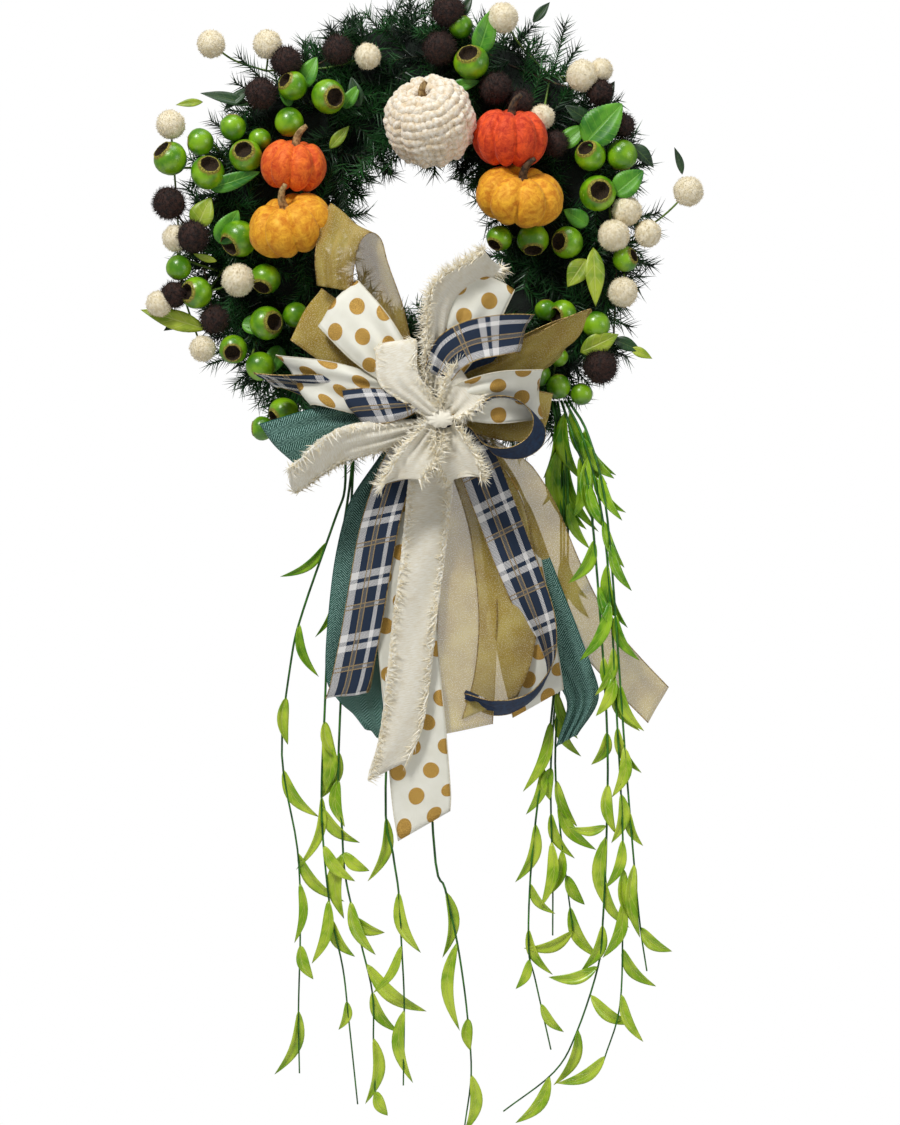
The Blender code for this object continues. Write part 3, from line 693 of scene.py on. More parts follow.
# Painted shade: a near-black finish for the body under the needles, standing in for the pine's shadowed
# depth.
PINE_SHADE_CORE = MottledFinish("pine_heart", paint(5, 14, 8), paint(14, 30, 18), 150.0, 0.85, 0.0, 0.002)
POD_SKIN = PodSkinFinish("pod_skin")
POD_HEART = MottledFinish("pod_heart", paint(8, 5, 3), paint(66, 46, 18), 1100.0, 0.9, 0.0, 0.001)
POD_RIM = MottledFinish("pod_rim", paint(84, 86, 18), paint(170, 158, 62), 700.0, 0.8, 0.0, 0.0006)
PICK_STEM = MottledFinish("pick_stem", paint(62, 92, 26), paint(120, 150, 60), 90.0, 0.5)
CREAM_FLUFF = MottledFinish(
    "cream_fluff", paint(222, 208, 172), paint(242, 232, 206), 260.0, 0.95, 0.0, 0.0006, 0.0, 0.2,
)
BROWN_FLUFF = MottledFinish("brown_fluff", paint(22, 11, 8), paint(58, 33, 24), 260.0, 0.85, 0.0, 0.0010)
BOUCLE = MottledFinish(
    "boucle", paint(226, 206, 172), paint(250, 242, 226), 220.0, 0.9, 0.0, 0.0008, 0.0, 0.6,
)
# Each velvet's second colour is its pressed pile, painted paler as painted sheen.
ORANGE_VELVET = VelvetFinish("orange_velvet", paint(196, 52, 0), paint(255, 128, 22))
RED_VELVET = VelvetFinish("red_velvet", paint(176, 32, 0), paint(252, 92, 18))
MUSTARD_VELVET = VelvetFinish("mustard_velvet", paint(200, 116, 0), paint(252, 190, 36))
DRIED_STEM = MottledFinish("dried_stem", paint(110, 82, 46), paint(186, 156, 104), 260.0, 0.8, 0.0, 0.0008)
DARK_STEM = MottledFinish("dark_stem", paint(34, 24, 16), paint(92, 70, 44), 260.0, 0.7, 0.0, 0.0008)
GOLD_MESH = GoldMeshFinish("gold_mesh", 0.9)
GOLD_SHEER = GoldMeshFinish("gold_sheer", 0.66)
GOLD_VEIL = GoldMeshFinish("gold_veil", 0.40)
GOLD_WIRE = MottledFinish("gold_wire", paint(118, 92, 48), paint(206, 178, 116), 500.0, 0.4, 0.7)
POLKA = PolkaFinish("polka")
POLKA_HEM = MottledFinish("polka_hem", paint(206, 200, 176), paint(232, 226, 206), 500.0, 0.6)
PLAID = PlaidFinish("plaid")
PLAID_BACK = MottledFinish("plaid_back", paint(6, 26, 58), paint(16, 48, 84), 240.0, 0.7)
TEAL = HerringboneFinish("teal")
TEAL_HEM = MottledFinish("teal_hem", paint(12, 70, 62), paint(40, 110, 98), 500.0, 0.7)
SILK = SilkFinish("silk")
FRAY = MottledFinish("fray", paint(238, 226, 194), paint(255, 253, 244), 300.0, 0.7, 0.0, 0.0)
BRIGHT_LEAF = LeafFinish("bright_leaf", paint(40, 112, 18), paint(100, 168, 40), paint(120, 178, 62))
LIME_LEAF = LeafFinish("lime_leaf", paint(112, 146, 24), paint(170, 188, 52), paint(196, 206, 110), 5.0)
DARK_LEAF = LeafFinish("dark_leaf", paint(16, 40, 22), paint(36, 72, 34), paint(86, 110, 60))
VINE_LEAF = LeafFinish("vine_leaf", paint(124, 170, 14), paint(190, 212, 62), paint(204, 218, 104), 4.0, 0.28)
# Painted shade: a darker copy of the vine leaf for the leaves nearest the wreath.
VINE_LEAF_SHADED = LeafFinish(
    "vine_leaf_deep", paint(76, 140, 10), paint(156, 198, 38), paint(172, 206, 72), 4.0, 0.24,
)
VINE_STEM = MottledFinish("vine_stem", paint(22, 74, 18), paint(58, 124, 30), 60.0, 0.4)
FLOOR = MottledFinish("floor", paint(244, 243, 241), paint(250, 249, 248), 2.0, 0.7)


# ---------------------------------------------------------------- mesh helpers


@dataclass
class MeshMaker:
    """Collects faces for one piece, with its UV map and a finish for each face."""

    verts: list[Vector] = field(default_factory=list)
    faces: list[tuple[int, ...]] = field(default_factory=list)
    uvs: list[tuple[tuple[float, float], ...]] = field(default_factory=list)
    slots: list[int] = field(default_factory=list)

    def grid(
        self,
        rows: list[list[Vector]],
        marks: list[list[tuple[float, float]]],
        slot: int = 0,
        round_across: bool = False,
    ) -> None:
        """Add a net of faces between rows of points.

        Args:
            rows: Points, row by row.
            marks: The UV place of each point.
            slot: The number of the finish.
            round_across: True where each row closes on itself.
        """
        start = len(self.verts)
        count = len(rows[0])
        for row in rows:
            self.verts.extend(row)
        last = count if round_across else count - 1
        for below in range(len(rows) - 1):
            for here in range(last):
                there = (here + 1) % count
                near, far = start + below * count, start + (below + 1) * count
                self.faces.append((near + here, near + there, far + there, far + here))
                self.uvs.append(
                    (marks[below][here], marks[below][there], marks[below + 1][there], marks[below + 1][here])
                )
                self.slots.append(slot)

    def fan(self, row: list[Vector], tip: Vector, mark: tuple[float, float], slot: int = 0) -> None:
        """Close a round row with a tip; build() turns its faces outwards.

        Args:
            row: The points of the row.
            tip: The point that they meet at.
            mark: The UV place of the whole fan.
            slot: The number of the finish.
        """
        start = len(self.verts)
        self.verts.extend([*row, tip])
        middle = len(self.verts) - 1
        for here in range(len(row)):
            there = (here + 1) % len(row)
            self.faces.append((start + here, start + there, middle))
            self.uvs.append((mark, mark, mark))
            self.slots.append(slot)

    def barrel(
        self,
        rows: list[list[Vector]],
        steps: int,
        tips: tuple[Vector, Vector] | None = None,
        span: tuple[float, float] = (1.0, 1.0),
    ) -> None:
        """Add a closed body from rings of points.

        Args:
            rows: The rings, from end to end.
            steps: Steps along the whole body, counting those that run to the tips.
            tips: The points beyond its end rings, or None to close these at their middles.
            span: How far the UV map runs round the body and along it.
        """
        sides, first = len(rows[0]), 1 if tips else 0
        self.grid(
            rows,
            [
                [(side / sides * span[0], (row + first) / steps * span[1]) for side in range(sides)]
                for row in range(len(rows))
            ],
            round_across=True,
        )
        closing = tips or [sum(row, Vector()) / len(row) for row in (rows[0], rows[-1])]
        self.fan(rows[0], closing[0], (0.0, 0.0))
        self.fan(rows[-1], closing[1], (0.0, float(first)))

    def tube(self, points: list[Vector], radii: list[float], sides: int = 6, slot: int = 0) -> None:
        """Add a closed tube along points.

        Args:
            points: The tube's middle line.
            radii: Its radius at each point.
            sides: Its number of sides.
            slot: The number of the finish.
        """
        rows, marks = [], []
        guide = Vector((0.0, 1.0, 0.2)).normalized()
        for index, point in enumerate(points):
            along = (points[min(index + 1, len(points) - 1)] - points[max(index - 1, 0)]).normalized()
            first = along.cross(guide)
            first = first.normalized() if first.length > 1e-6 else along.orthogonal().normalized()
            second = along.cross(first)
            rows.append(
                [
                    point + (first * math.cos(turn) + second * math.sin(turn)) * radii[index]
                    for turn in (2 * math.pi * side / sides for side in range(sides))
                ]
            )
            marks.append([(side / sides, index / len(points)) for side in range(sides)])
            guide = first.cross(along) if index == 0 else guide
        self.grid(rows, marks, slot, round_across=True)
        self.fan(rows[0], points[0], (0.0, 0.0), slot)
        self.fan(rows[-1], points[-1], (0.0, 1.0), slot)

    def build(self, name: str, finishes: list[Finish], as_laid: bool = False) -> bpy.types.Object:
        """Make the object.

        Args:
            name: The piece's name.
            finishes: Its finishes, by slot number.
            as_laid: True to keep the way its faces look, for a sheet whose two sides differ.

        Returns:
            The linked object, shaded smooth.
        """
        mesh = bpy.data.meshes.new(name)
        mesh.from_pydata([tuple(vert) for vert in self.verts], [], self.faces)
        for finish in finishes:
            mesh.materials.append(finish.material())
        mesh.polygons.foreach_set("material_index", self.slots)
        layer = mesh.uv_layers.new(name="UVMap")
        layer.data.foreach_set("uv", [part for face in self.uvs for mark in face for part in mark])
        bm = bmesh.new()
        bm.from_mesh(mesh)
        bmesh.ops.remove_doubles(bm, verts=bm.verts, dist=0.00002)
        if not as_laid:
            bmesh.ops.recalc_face_normals(bm, faces=bm.faces)
        bm.to_mesh(mesh)
        bm.free()
        mesh.shade_smooth()
        made = bpy.data.objects.new(name, mesh)
        bpy.context.scene.collection.objects.link(made)
        return made


def curve_through(points: list[Vector], steps: int) -> list[Vector]:
    """A Catmull-Rom curve through points of any dimension.

    Args:
        points: The points it goes through.
        steps: Steps in each span.

    Returns:
        The curve's points, the last one included.
    """
    ends = [2 * points[0] - points[1], *points, 2 * points[-1] - points[-2]]
    made = []
    for before, start, end, after in zip(ends, ends[1:], ends[2:], ends[3:]):
        for step in range(steps):
            t = step / steps
            made.append(
                0.5
                * (
                    2 * start
                    + (end - before) * t
                    + (2 * before - 5 * start + 4 * end - after) * t * t
                    + (3 * start - 3 * end + after - before) * t**3
                )
            )
    return [*made, points[-1].copy()]


def settle(obj: bpy.types.Object, body: Body, slot: str, *nodes: str) -> bpy.types.Object:
    """Parent a piece to the body that it rides on, and hide the CAD nodes that it replaces.

    Args:
        obj: The finished piece.
        body: The body that it moves with.
        slot: The record's material slot; not used.
        *nodes: CAD nodes that it replaces.

    Returns:
        The same piece.
    """
    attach(obj, body.value)
    if nodes:
        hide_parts(*nodes)
    log.info("%s: %d faces", obj.name, len(obj.data.polygons))
    return obj


# ---------------------------------------------------------------- repeating trees

GOLDEN_ANGLE = 2.39996
TWIG_RADIUS = 0.0008


class Repeat(Graph):
    """A geometry node tree for what repeats, with named inputs."""

    def __init__(self, name: str, inputs: dict[str, str]) -> None:
        """Start the tree.

        Args:
            name: The tree's name.
            inputs: Socket types by input name, after the geometry.
        """
        super().__init__(bpy.data.node_groups.new(name, "GeometryNodeTree"))
        self.tree.interface.new_socket("Geometry", in_out="INPUT", socket_type="NodeSocketGeometry")
        for label, kind in inputs.items():
            self.tree.interface.new_socket(label, in_out="INPUT", socket_type=f"NodeSocket{kind}")
        self.tree.interface.new_socket("Geometry", in_out="OUTPUT", socket_type="NodeSocketGeometry")
        self.start = self.add("NodeGroupInput")
        self.end = self.add("NodeGroupOutput")

    def random(self, low: float, high: float, seed: int) -> bpy.types.NodeSocket:
        """A random number for each point, with a fixed seed.

        Args:
            low, high: Its range.
            seed: The seed.

        Returns:
            The number's socket.
        """
        node = self.add("FunctionNodeRandomValue", {2: low, 3: high, "Seed": seed}, data_type="FLOAT")
        return node.outputs[1]

    def aligned(self, facing: Any) -> Any:
        """A rotation that points Z along a direction.

        Args:
            facing: The direction's socket.

        Returns:
            The rotation's socket.
        """
        return self.add("FunctionNodeAlignRotationToVector", {"Vector": facing}, axis="Z").outputs[0]

    def turned(self, start: Any, axis: tuple[float, float, float], angle: Any) -> Any:
        """Turn a rotation further about one of its own axes.

        Args:
            start: The rotation to go on from.
            axis: The axis of the further turn.
            angle: The angle of the further turn.

        Returns:
            The rotation's socket.
        """
        spin = self.add("FunctionNodeAxisAngleToRotation", {"Axis": axis, "Angle": angle})
        turn = {"Rotation": start, "Rotate By": spin.outputs[0]}
        return self.add("FunctionNodeRotateRotation", turn, rotation_space="LOCAL").outputs[0]

    def leant(self, start: Any, most: float) -> Any:
        """Lean a rotation at random about X and then about Y.

        Args:
            start: The rotation to go on from.
            most: The largest angle in radians.

        Returns:
            The rotation's socket.
        """
        first = self.turned(start, X_AXIS, self.random(-most, most, 2))
        return self.turned(first, Y_AXIS, self.random(-most, most, 4))

    def beads(self) -> tuple[Any, Any]:
        """Take the tree's mesh of bare edges as lines, and set points along them at its input Spacing.

        Returns:
            The sockets of the lines and of the points.
        """
        lines = self.add("GeometryNodeMeshToCurve", {0: self.start.outputs["Geometry"]}).outputs[0]
        pace = {"Curve": lines, "Length": self.start.outputs["Spacing"]}
        return lines, self.add("GeometryNodeResampleCurve", pace, mode="LENGTH").outputs[0]

    def scatter(self, points: Any, thing: Any, rotation: Any, size: Any) -> Any:
        """Set a thing on each point.

        Args:
            points: The points' socket.
            thing: The thing's geometry.
            rotation: Each one's rotation.
            size: Each one's scale.

        Returns:
            The instances' socket.
        """
        spread = {"Points": points, "Instance": thing, "Rotation": rotation, "Scale": size}
        return self.add("GeometryNodeInstanceOnPoints", spread).outputs[0]

    def spikes(self, points: Any, length: str, rotation: Any, size: Any) -> Any:
        """Set a thin cone on each point, as thick as the tree's input Thickness.

        Args:
            points: The points' socket.
            length: The input that holds the cones' length.
            rotation: Each one's rotation.
            size: Each one's scale.

        Returns:
            The instances' socket.
        """
        thick, tall = self.start.outputs["Thickness"], self.start.outputs[length]
        shape = {"Vertices": 3, "Radius Top": 0.0, "Radius Bottom": thick, "Depth": tall}
        return self.scatter(points, self.add("GeometryNodeMeshCone", shape).outputs[0], rotation, size)

    def finish(self, parts: list[tuple[Any, str]]) -> None:
        """Give each part its material, join them and realize every instance.

        Args:
            parts: Geometry sockets, each with the name of its material input, or "" to keep its own.
        """
        join = self.add("GeometryNodeJoinGeometry")
        for geometry, label in parts:
            real = self.add("GeometryNodeRealizeInstances", {0: geometry}).outputs[0]
            if label:
                real = self.add(
                    "GeometryNodeSetMaterial", {0: real, "Material": self.start.outputs[label]},
                ).outputs[0]
            self.feed(join.inputs[0], real)
        self.feed(self.end.inputs[0], join.outputs[0])

    def grow(self, obj: bpy.types.Object, values: dict[str, Any]) -> bpy.types.Object:
        """Run the tree on an object, and keep the plain mesh that comes out.

        Args:
            obj: The object that it starts from.
            values: The inputs' values by name.

        Returns:
            The same object with the grown mesh.
        """
        modifier = obj.modifiers.new(self.tree.name, "NODES")
        modifier.node_group = self.tree
        for item in self.tree.interface.items_tree:
            if item.item_type == "SOCKET" and item.in_out == "INPUT" and item.name in values:
                modifier[item.identifier] = values[item.name]
        graph = bpy.context.evaluated_depsgraph_get()
        grown = bpy.data.meshes.new_from_object(
            obj.evaluated_get(graph), preserve_all_data_layers=True, depsgraph=graph,
        )
        obj.modifiers.clear()
        old = obj.data
        obj.data = grown
        grown.name = obj.name
        bpy.data.meshes.remove(old)
        return obj


class Growth:
    """The repeating trees of the wreath, each built on first use."""

    built: dict[str, Repeat] = {}

    @classmethod
    def needled_twigs(cls) -> Repeat:
        """Twigs with needles set round them in a spiral, from a mesh of bare edges."""
        if "twigs" not in cls.built:
            kinds = dict.fromkeys(("Spacing", "Needle", "Thickness"), "Float")
            tree = Repeat("needled_twigs", {**kinds, "Needle Finish": "Material", "Twig Finish": "Material"})
            lines, beads = tree.beads()
            tangent = tree.add("GeometryNodeInputTangent").outputs[0]
            index = tree.add("GeometryNodeInputIndex").outputs[0]
            turn = tree.plus(tree.times(index, GOLDEN_ANGLE), tree.random(-0.5, 0.5, 3))
            spun = tree.turned(tree.aligned(tangent), Z_AXIS, turn)
            leant = tree.turned(spun, X_AXIS, tree.random(0.62, 1.08, 5))
            needles = tree.spikes(beads, "Needle", leant, tree.random(0.7, 1.15, 7))
            ring = tree.add("GeometryNodeCurvePrimitiveCircle", {"Resolution": 4, "Radius": TWIG_RADIUS})
            stick = tree.add("GeometryNodeCurveToMesh", {0: lines, 1: ring.outputs[0], "Fill Caps": True})
            tree.finish([(needles, "Needle Finish"), (stick.outputs[0], "Twig Finish")])
            cls.built["twigs"] = tree
        return cls.built["twigs"]

    @classmethod
    def fluff(cls) -> Repeat:
        """Short fibres standing out all over a closed body."""
        if "fluff" not in cls.built:
            kinds = dict.fromkeys(("Density", "Length", "Thickness"), "Float")
            tree = Repeat("fluff", {**kinds, "Finish": "Material"})
            body = tree.start.outputs["Geometry"]
            spread = {"Mesh": body, "Density": tree.start.outputs["Density"], "Seed": 11}
            points = tree.add("GeometryNodeDistributePointsOnFaces", spread)
            leant = tree.leant(points.outputs["Rotation"], 0.7)
            fibres = tree.spikes(points.outputs[0], "Length", leant, tree.random(0.5, 1.2, 6))
            tree.finish([(fibres, "Finish"), (body, "")])
            cls.built["fluff"] = tree
        return cls.built["fluff"]

    @classmethod
    def popcorn(cls) -> Repeat:
        """A crochet popcorn stitch at each corner of a net."""
        if "popcorn" not in cls.built:
            tree = Repeat("popcorn", {"Size": "Float", "Finish": "Material"})
            body = tree.start.outputs["Geometry"]
            puff = tree.add(
                "GeometryNodeMeshIcoSphere", {"Radius": tree.start.outputs["Size"], "Subdivisions": 2},
            )
            normal = tree.add("GeometryNodeInputNormal").outputs[0]
            turn = tree.turned(tree.aligned(normal), Z_AXIS, tree.random(0.0, 6.2, 9))
            sides = {0: tree.random(0.8, 1.25, 1), 1: tree.random(0.7, 1.1, 8), 2: tree.random(0.7, 1.1, 4)}
            flat = tree.add("ShaderNodeCombineXYZ", sides)
            stitches = tree.scatter(body, puff.outputs[0], turn, flat.outputs[0])
            tree.finish([(stitches, "Finish"), (body, "Finish")])
            cls.built["popcorn"] = tree
        return cls.built["popcorn"]

    @classmethod
    def fringe(cls) -> Repeat:
        """Loose threads along the edges of a frayed ribbon, each edge carrying its outward direction."""
        if "fringe" not in cls.built:
            kinds = dict.fromkeys(("Spacing", "Length", "Thickness"), "Float")
            tree = Repeat("fringe", {**kinds, "Finish": "Material"})
            _, beads = tree.beads()
            out = tree.add(
                "GeometryNodeInputNamedAttribute", {"Name": "out"}, data_type="FLOAT_VECTOR",
            ).outputs[0]
            leant = tree.leant(tree.aligned(out), 1.0)
            threads = tree.spikes(beads, "Length", leant, tree.random(0.35, 1.2, 6))
            tree.finish([(threads, "Finish")])
            cls.built["fringe"] = tree
        return cls.built["fringe"]


def bare_lines(
    name: str,
    lines: list[list[Vector]],
    outward: list[list[Vector]] | None = None,
) -> bpy.types.Object:
    """A mesh of edges only, to grow something on.

    Args:
        name: The object's name.
        lines: The points of each line.
        outward: A direction at each point, kept as the attribute "out".

    Returns:
        The linked object.
    """
    verts = [point for line in lines for point in line]
    edges = []
    start = 0
    for line in lines:
        edges += [(start + step, start + step + 1) for step in range(len(line) - 1)]
        start += len(line)
    mesh = bpy.data.meshes.new(name)
    mesh.from_pydata([tuple(vert) for vert in verts], edges, [])
    if outward:
        way = mesh.attributes.new("out", "FLOAT_VECTOR", "POINT")
        way.data.foreach_set("vector", [part for line in outward for vector in line for part in vector])
    made = bpy.data.objects.new(name, mesh)
    bpy.context.scene.collection.objects.link(made)
    return made


# ---------------------------------------------------------------- where things are


@dataclass(frozen=True)
class Setting:
    """The wreath's main places, read from the frame."""

    centre: Vector
    ring_radius: float
    pine_front: float
    bow: Vector
    hinges: dict[str, Vector]

    @classmethod
    def measured(cls) -> "Setting":
        """Measure the frame ring, the pine, the bow's core and the joints."""
        low, high = (Vector(corner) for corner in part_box("frame_ring"))
        wire = high.y - low.y
        centre = (low + high) / 2
        bunches = [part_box(node) for node in frame["nodes"] if node.startswith("pine_bunch")]
        front = min(box[0][1] for box in bunches)
        core_low, core_high = (Vector(corner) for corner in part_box("bow_core"))
        bow = (core_low + core_high) / 2
        hinges = {joint["child"]: Vector(joint["pos_m"]) for joint in frame["joints"]}
        radius = (high.x - low.x) / 2 - wire / 2
        return cls(centre, radius, front, Vector((bow.x, core_high.y, bow.z)), hinges)

    def at(self, clock: float, reach: float, y: float) -> Vector:
        """A point on the wreath.

        Args:
            clock: Degrees from the top, clockwise as seen from the front.
            reach: Metres outwards from the ring wire.
            y: The depth.

        Returns:
            The point.
        """
        angle = math.radians(clock)
        radius = self.ring_radius + reach
        return Vector((self.centre.x + radius * math.sin(angle), y, self.centre.z + radius * math.cos(angle)))

    def from_bow(self, across: float, up: float, forward: float) -> Vector:
        """A point by the bow.

        Args:
            across, up, forward: Millimetres to the right, up and to the front of the back of the bow's core.

        Returns:
            The point.
        """
        return self.bow + Vector((across, -forward, up)) * MM


# ---------------------------------------------------------------- pine


@dataclass(frozen=True)
class TwigKind:
    """A kind of twig: how many a bunch has, and the ranges from which each one is drawn.

    reaches and depths place the root, in metres outwards from the ring wire and from front to back, and
    lengths are in millimetres. lifts say how far it leans to the front. outward is 1 for twigs that point
    away from the wreath's middle, -1 for those that point towards it and 0 for those that point any way.
    """

    count: int
    reaches: tuple[float, float]
    lengths: tuple[float, float]
    lifts: tuple[float, float]
    outward: float
    depths: tuple[float, float]


TWIG_KINDS = (
    TwigKind(46, (0.006, 0.034), (50, 74), (0.0, 0.35), 1.0, (-0.042, -0.016)),
    TwigKind(24, (-0.040, -0.022), (40, 58), (0.0, 0.4), -1.0, (-0.042, -0.018)),
    TwigKind(58, (-0.055, 0.056), (40, 64), (0.45, 1.0), 0.0, (-0.050, -0.040)),
    TwigKind(26, (-0.045, 0.050), (38, 56), (-0.08, 0.12), 0.0, (-0.0145, -0.0120)),
)


@dataclass
class Pine:
    """The pine's needled twigs, bunch by bunch, over a near-black heart that is painted shade for the pine's
    shadowed depth.

    The angles are degrees of the clock: gap_clock is where the first bunch starts, gap half the gap between
    the twigs of two bunches, and overlap how far a heart runs on into it. shade_core_back is where the heart
    is cut flat behind.
    """

    setting: Setting
    bunches: int = 6
    gap_clock: float = 176.0
    gap: float = 0.6
    overlap: float = 0.45
    needle: float = 0.019
    needle_radius: float = 0.00088
    spacing: float = 0.00095
    twig_bend: float = 0.10
    twig_lift: float = 0.35
    shade_core_width: float = 0.062
    shade_core_depth: float = 0.021
    shade_core_back: float = 0.011

    def twig(
        self,
        start: Vector,
        heading: Vector,
        length: float,
        droop: float,
        rng: random.Random,
    ) -> list[Vector]:
        """A slightly bent twig.

        Args:
            start: Its root.
            heading: The way it sets off.
            length: Its length.
            droop: How far its tip sinks.
            rng: The random source.

        Returns:
            Its points.
        """
        sway = Vector((rng.uniform(-1, 1), rng.uniform(-0.6, 0.6), rng.uniform(-1, 1)))
        bend = sway * length * self.twig_bend
        points = []
        for step in range(5):
            share = step / 4
            points.append(start + heading * length * share + (bend + Vector((0, 0, -droop))) * share * share)
        return points

    def twigs(self, first: float, last: float, rng: random.Random) -> list[list[Vector]]:
        """The twigs of one bunch.

        Args:
            first, last: Its clock angles.
            rng: The random source.

        Returns:
            Each twig's points.
        """
        made = []
        for kind in TWIG_KINDS:
            for _ in range(kind.count):
                clock = rng.uniform(first, last)
                reach = rng.uniform(*kind.reaches)
                start = self.setting.at(clock, reach, rng.uniform(*kind.depths))
                radial = self.setting.at(clock, reach + 1.0, 0.0) - self.setting.at(clock, reach, 0.0)
                around = Vector((radial.z, 0.0, -radial.x))
                if kind.outward:
                    heading = radial * kind.outward + around * rng.uniform(-0.75, 0.75)
                else:
                    turn = rng.uniform(0, 2 * math.pi)
                    heading = radial * (math.sin(turn) + 0.25) + around * math.cos(turn)
                lift = Vector((0.0, -rng.uniform(*kind.lifts) * self.twig_lift, 0.0))
                heading = heading.normalized() + lift
                length = rng.uniform(*kind.lengths) * MM
                made.append(self.twig(start, heading.normalized(), length, rng.uniform(0.0, 0.008), rng))
        return made

    def heart(self, index: int, first: float, last: float) -> MeshMaker:
        """A near-black body round the ring wire, painted shade that shows between the needles.

        Args:
            index: The bunch's number.
            first, last: Its clock angles.

        Returns:
            The mesh so far.
        """
        rows = []
        steps, sides = 24, 20
        mid = (self.setting.pine_front - 0.006) / 2
        for step in range(steps + 1):
            clock = first + (last - first) * step / steps
            row = []
            for side in range(sides):
                turn = 2 * math.pi * side / sides
                swell = 1.0 + 0.22 * noise.noise(Vector((clock * 0.25, turn * 2.0, index)))
                across = self.shade_core_width * math.cos(turn) * swell
                deep = self.shade_core_depth * math.sin(turn) * swell
                row.append(
                    self.setting.at(clock, across, mid + max(-self.shade_core_depth, min(self.shade_core_back, deep)))
                )
            rows.append(row)
        maker = MeshMaker()
        maker.barrel(rows, steps)
        return maker

    def build(self) -> None:
        """Make every bunch and settle it in place of its CAD block."""
        pitch = 360.0 / self.bunches
        for index in range(self.bunches):
            rng = random.Random(40 + index)
            first = self.gap_clock + pitch * index + self.gap
            last = first + pitch - 2 * self.gap
            # The heart is painted shade: a near-black body where the pine's depth would lie in shadow.
            heart = self.heart(index, first - self.overlap, last + self.overlap)
            settle(heart.build(f"pine_heart_{index + 1}", [PINE_SHADE_CORE]), Body.WREATH, "pine")
            lines = bare_lines(f"pine_twigs_{index + 1}", self.twigs(first, last, rng))
            values = {
                "Spacing": self.spacing,
                "Needle": self.needle,
                "Thickness": self.needle_radius,
                "Needle Finish": NEEDLES.material(),
                "Twig Finish": TWIG.material(),
            }
            Growth.needled_twigs().grow(lines, values)
            settle(lines, Body.WREATH, "pine", f"pine_bunch_{index + 1}")


# ---------------------------------------------------------------- pods and pom-poms


def facing(clock: float, tilt: float) -> Vector:
    """A direction leaning from straight to the front.

    Args:
        clock: The clock angle that it leans towards.
        tilt: How far it leans, in degrees.

    Returns:
        The unit direction.
    """
    turn, lean = math.radians(clock), math.radians(tilt)
    return Vector((math.sin(turn) * math.sin(lean), -math.cos(lean), math.cos(turn) * math.sin(lean)))


@dataclass(frozen=True)
class Pod:
    """One open seed pod: where it sits, its radius, and where its mouth looks."""

    clock: float
    reach: float
    radius: float
    mouth_clock: float
    mouth_tilt: float
    forward: float = 0.0

    @classmethod
    def measured(
        cls,
        clock: float,
        reach: float,
        radius: float,
        mouth_clock: float,
        mouth_tilt: float,
        forward: float = 0,
    ) -> "Pod":
        """Make a pod from lengths in millimetres.

        Args:
            clock, reach, radius, mouth_clock, mouth_tilt, forward: The fields of a pod.

        Returns:
            The pod, with its lengths in metres.
        """
        return cls(clock, reach * MM, radius * MM, mouth_clock, mouth_tilt, forward * MM)


@dataclass(frozen=True)
class Pom:
    """One pom-pom: where it sits and its radius."""

    clock: float
    reach: float
    radius: float
    forward: float = 0.0


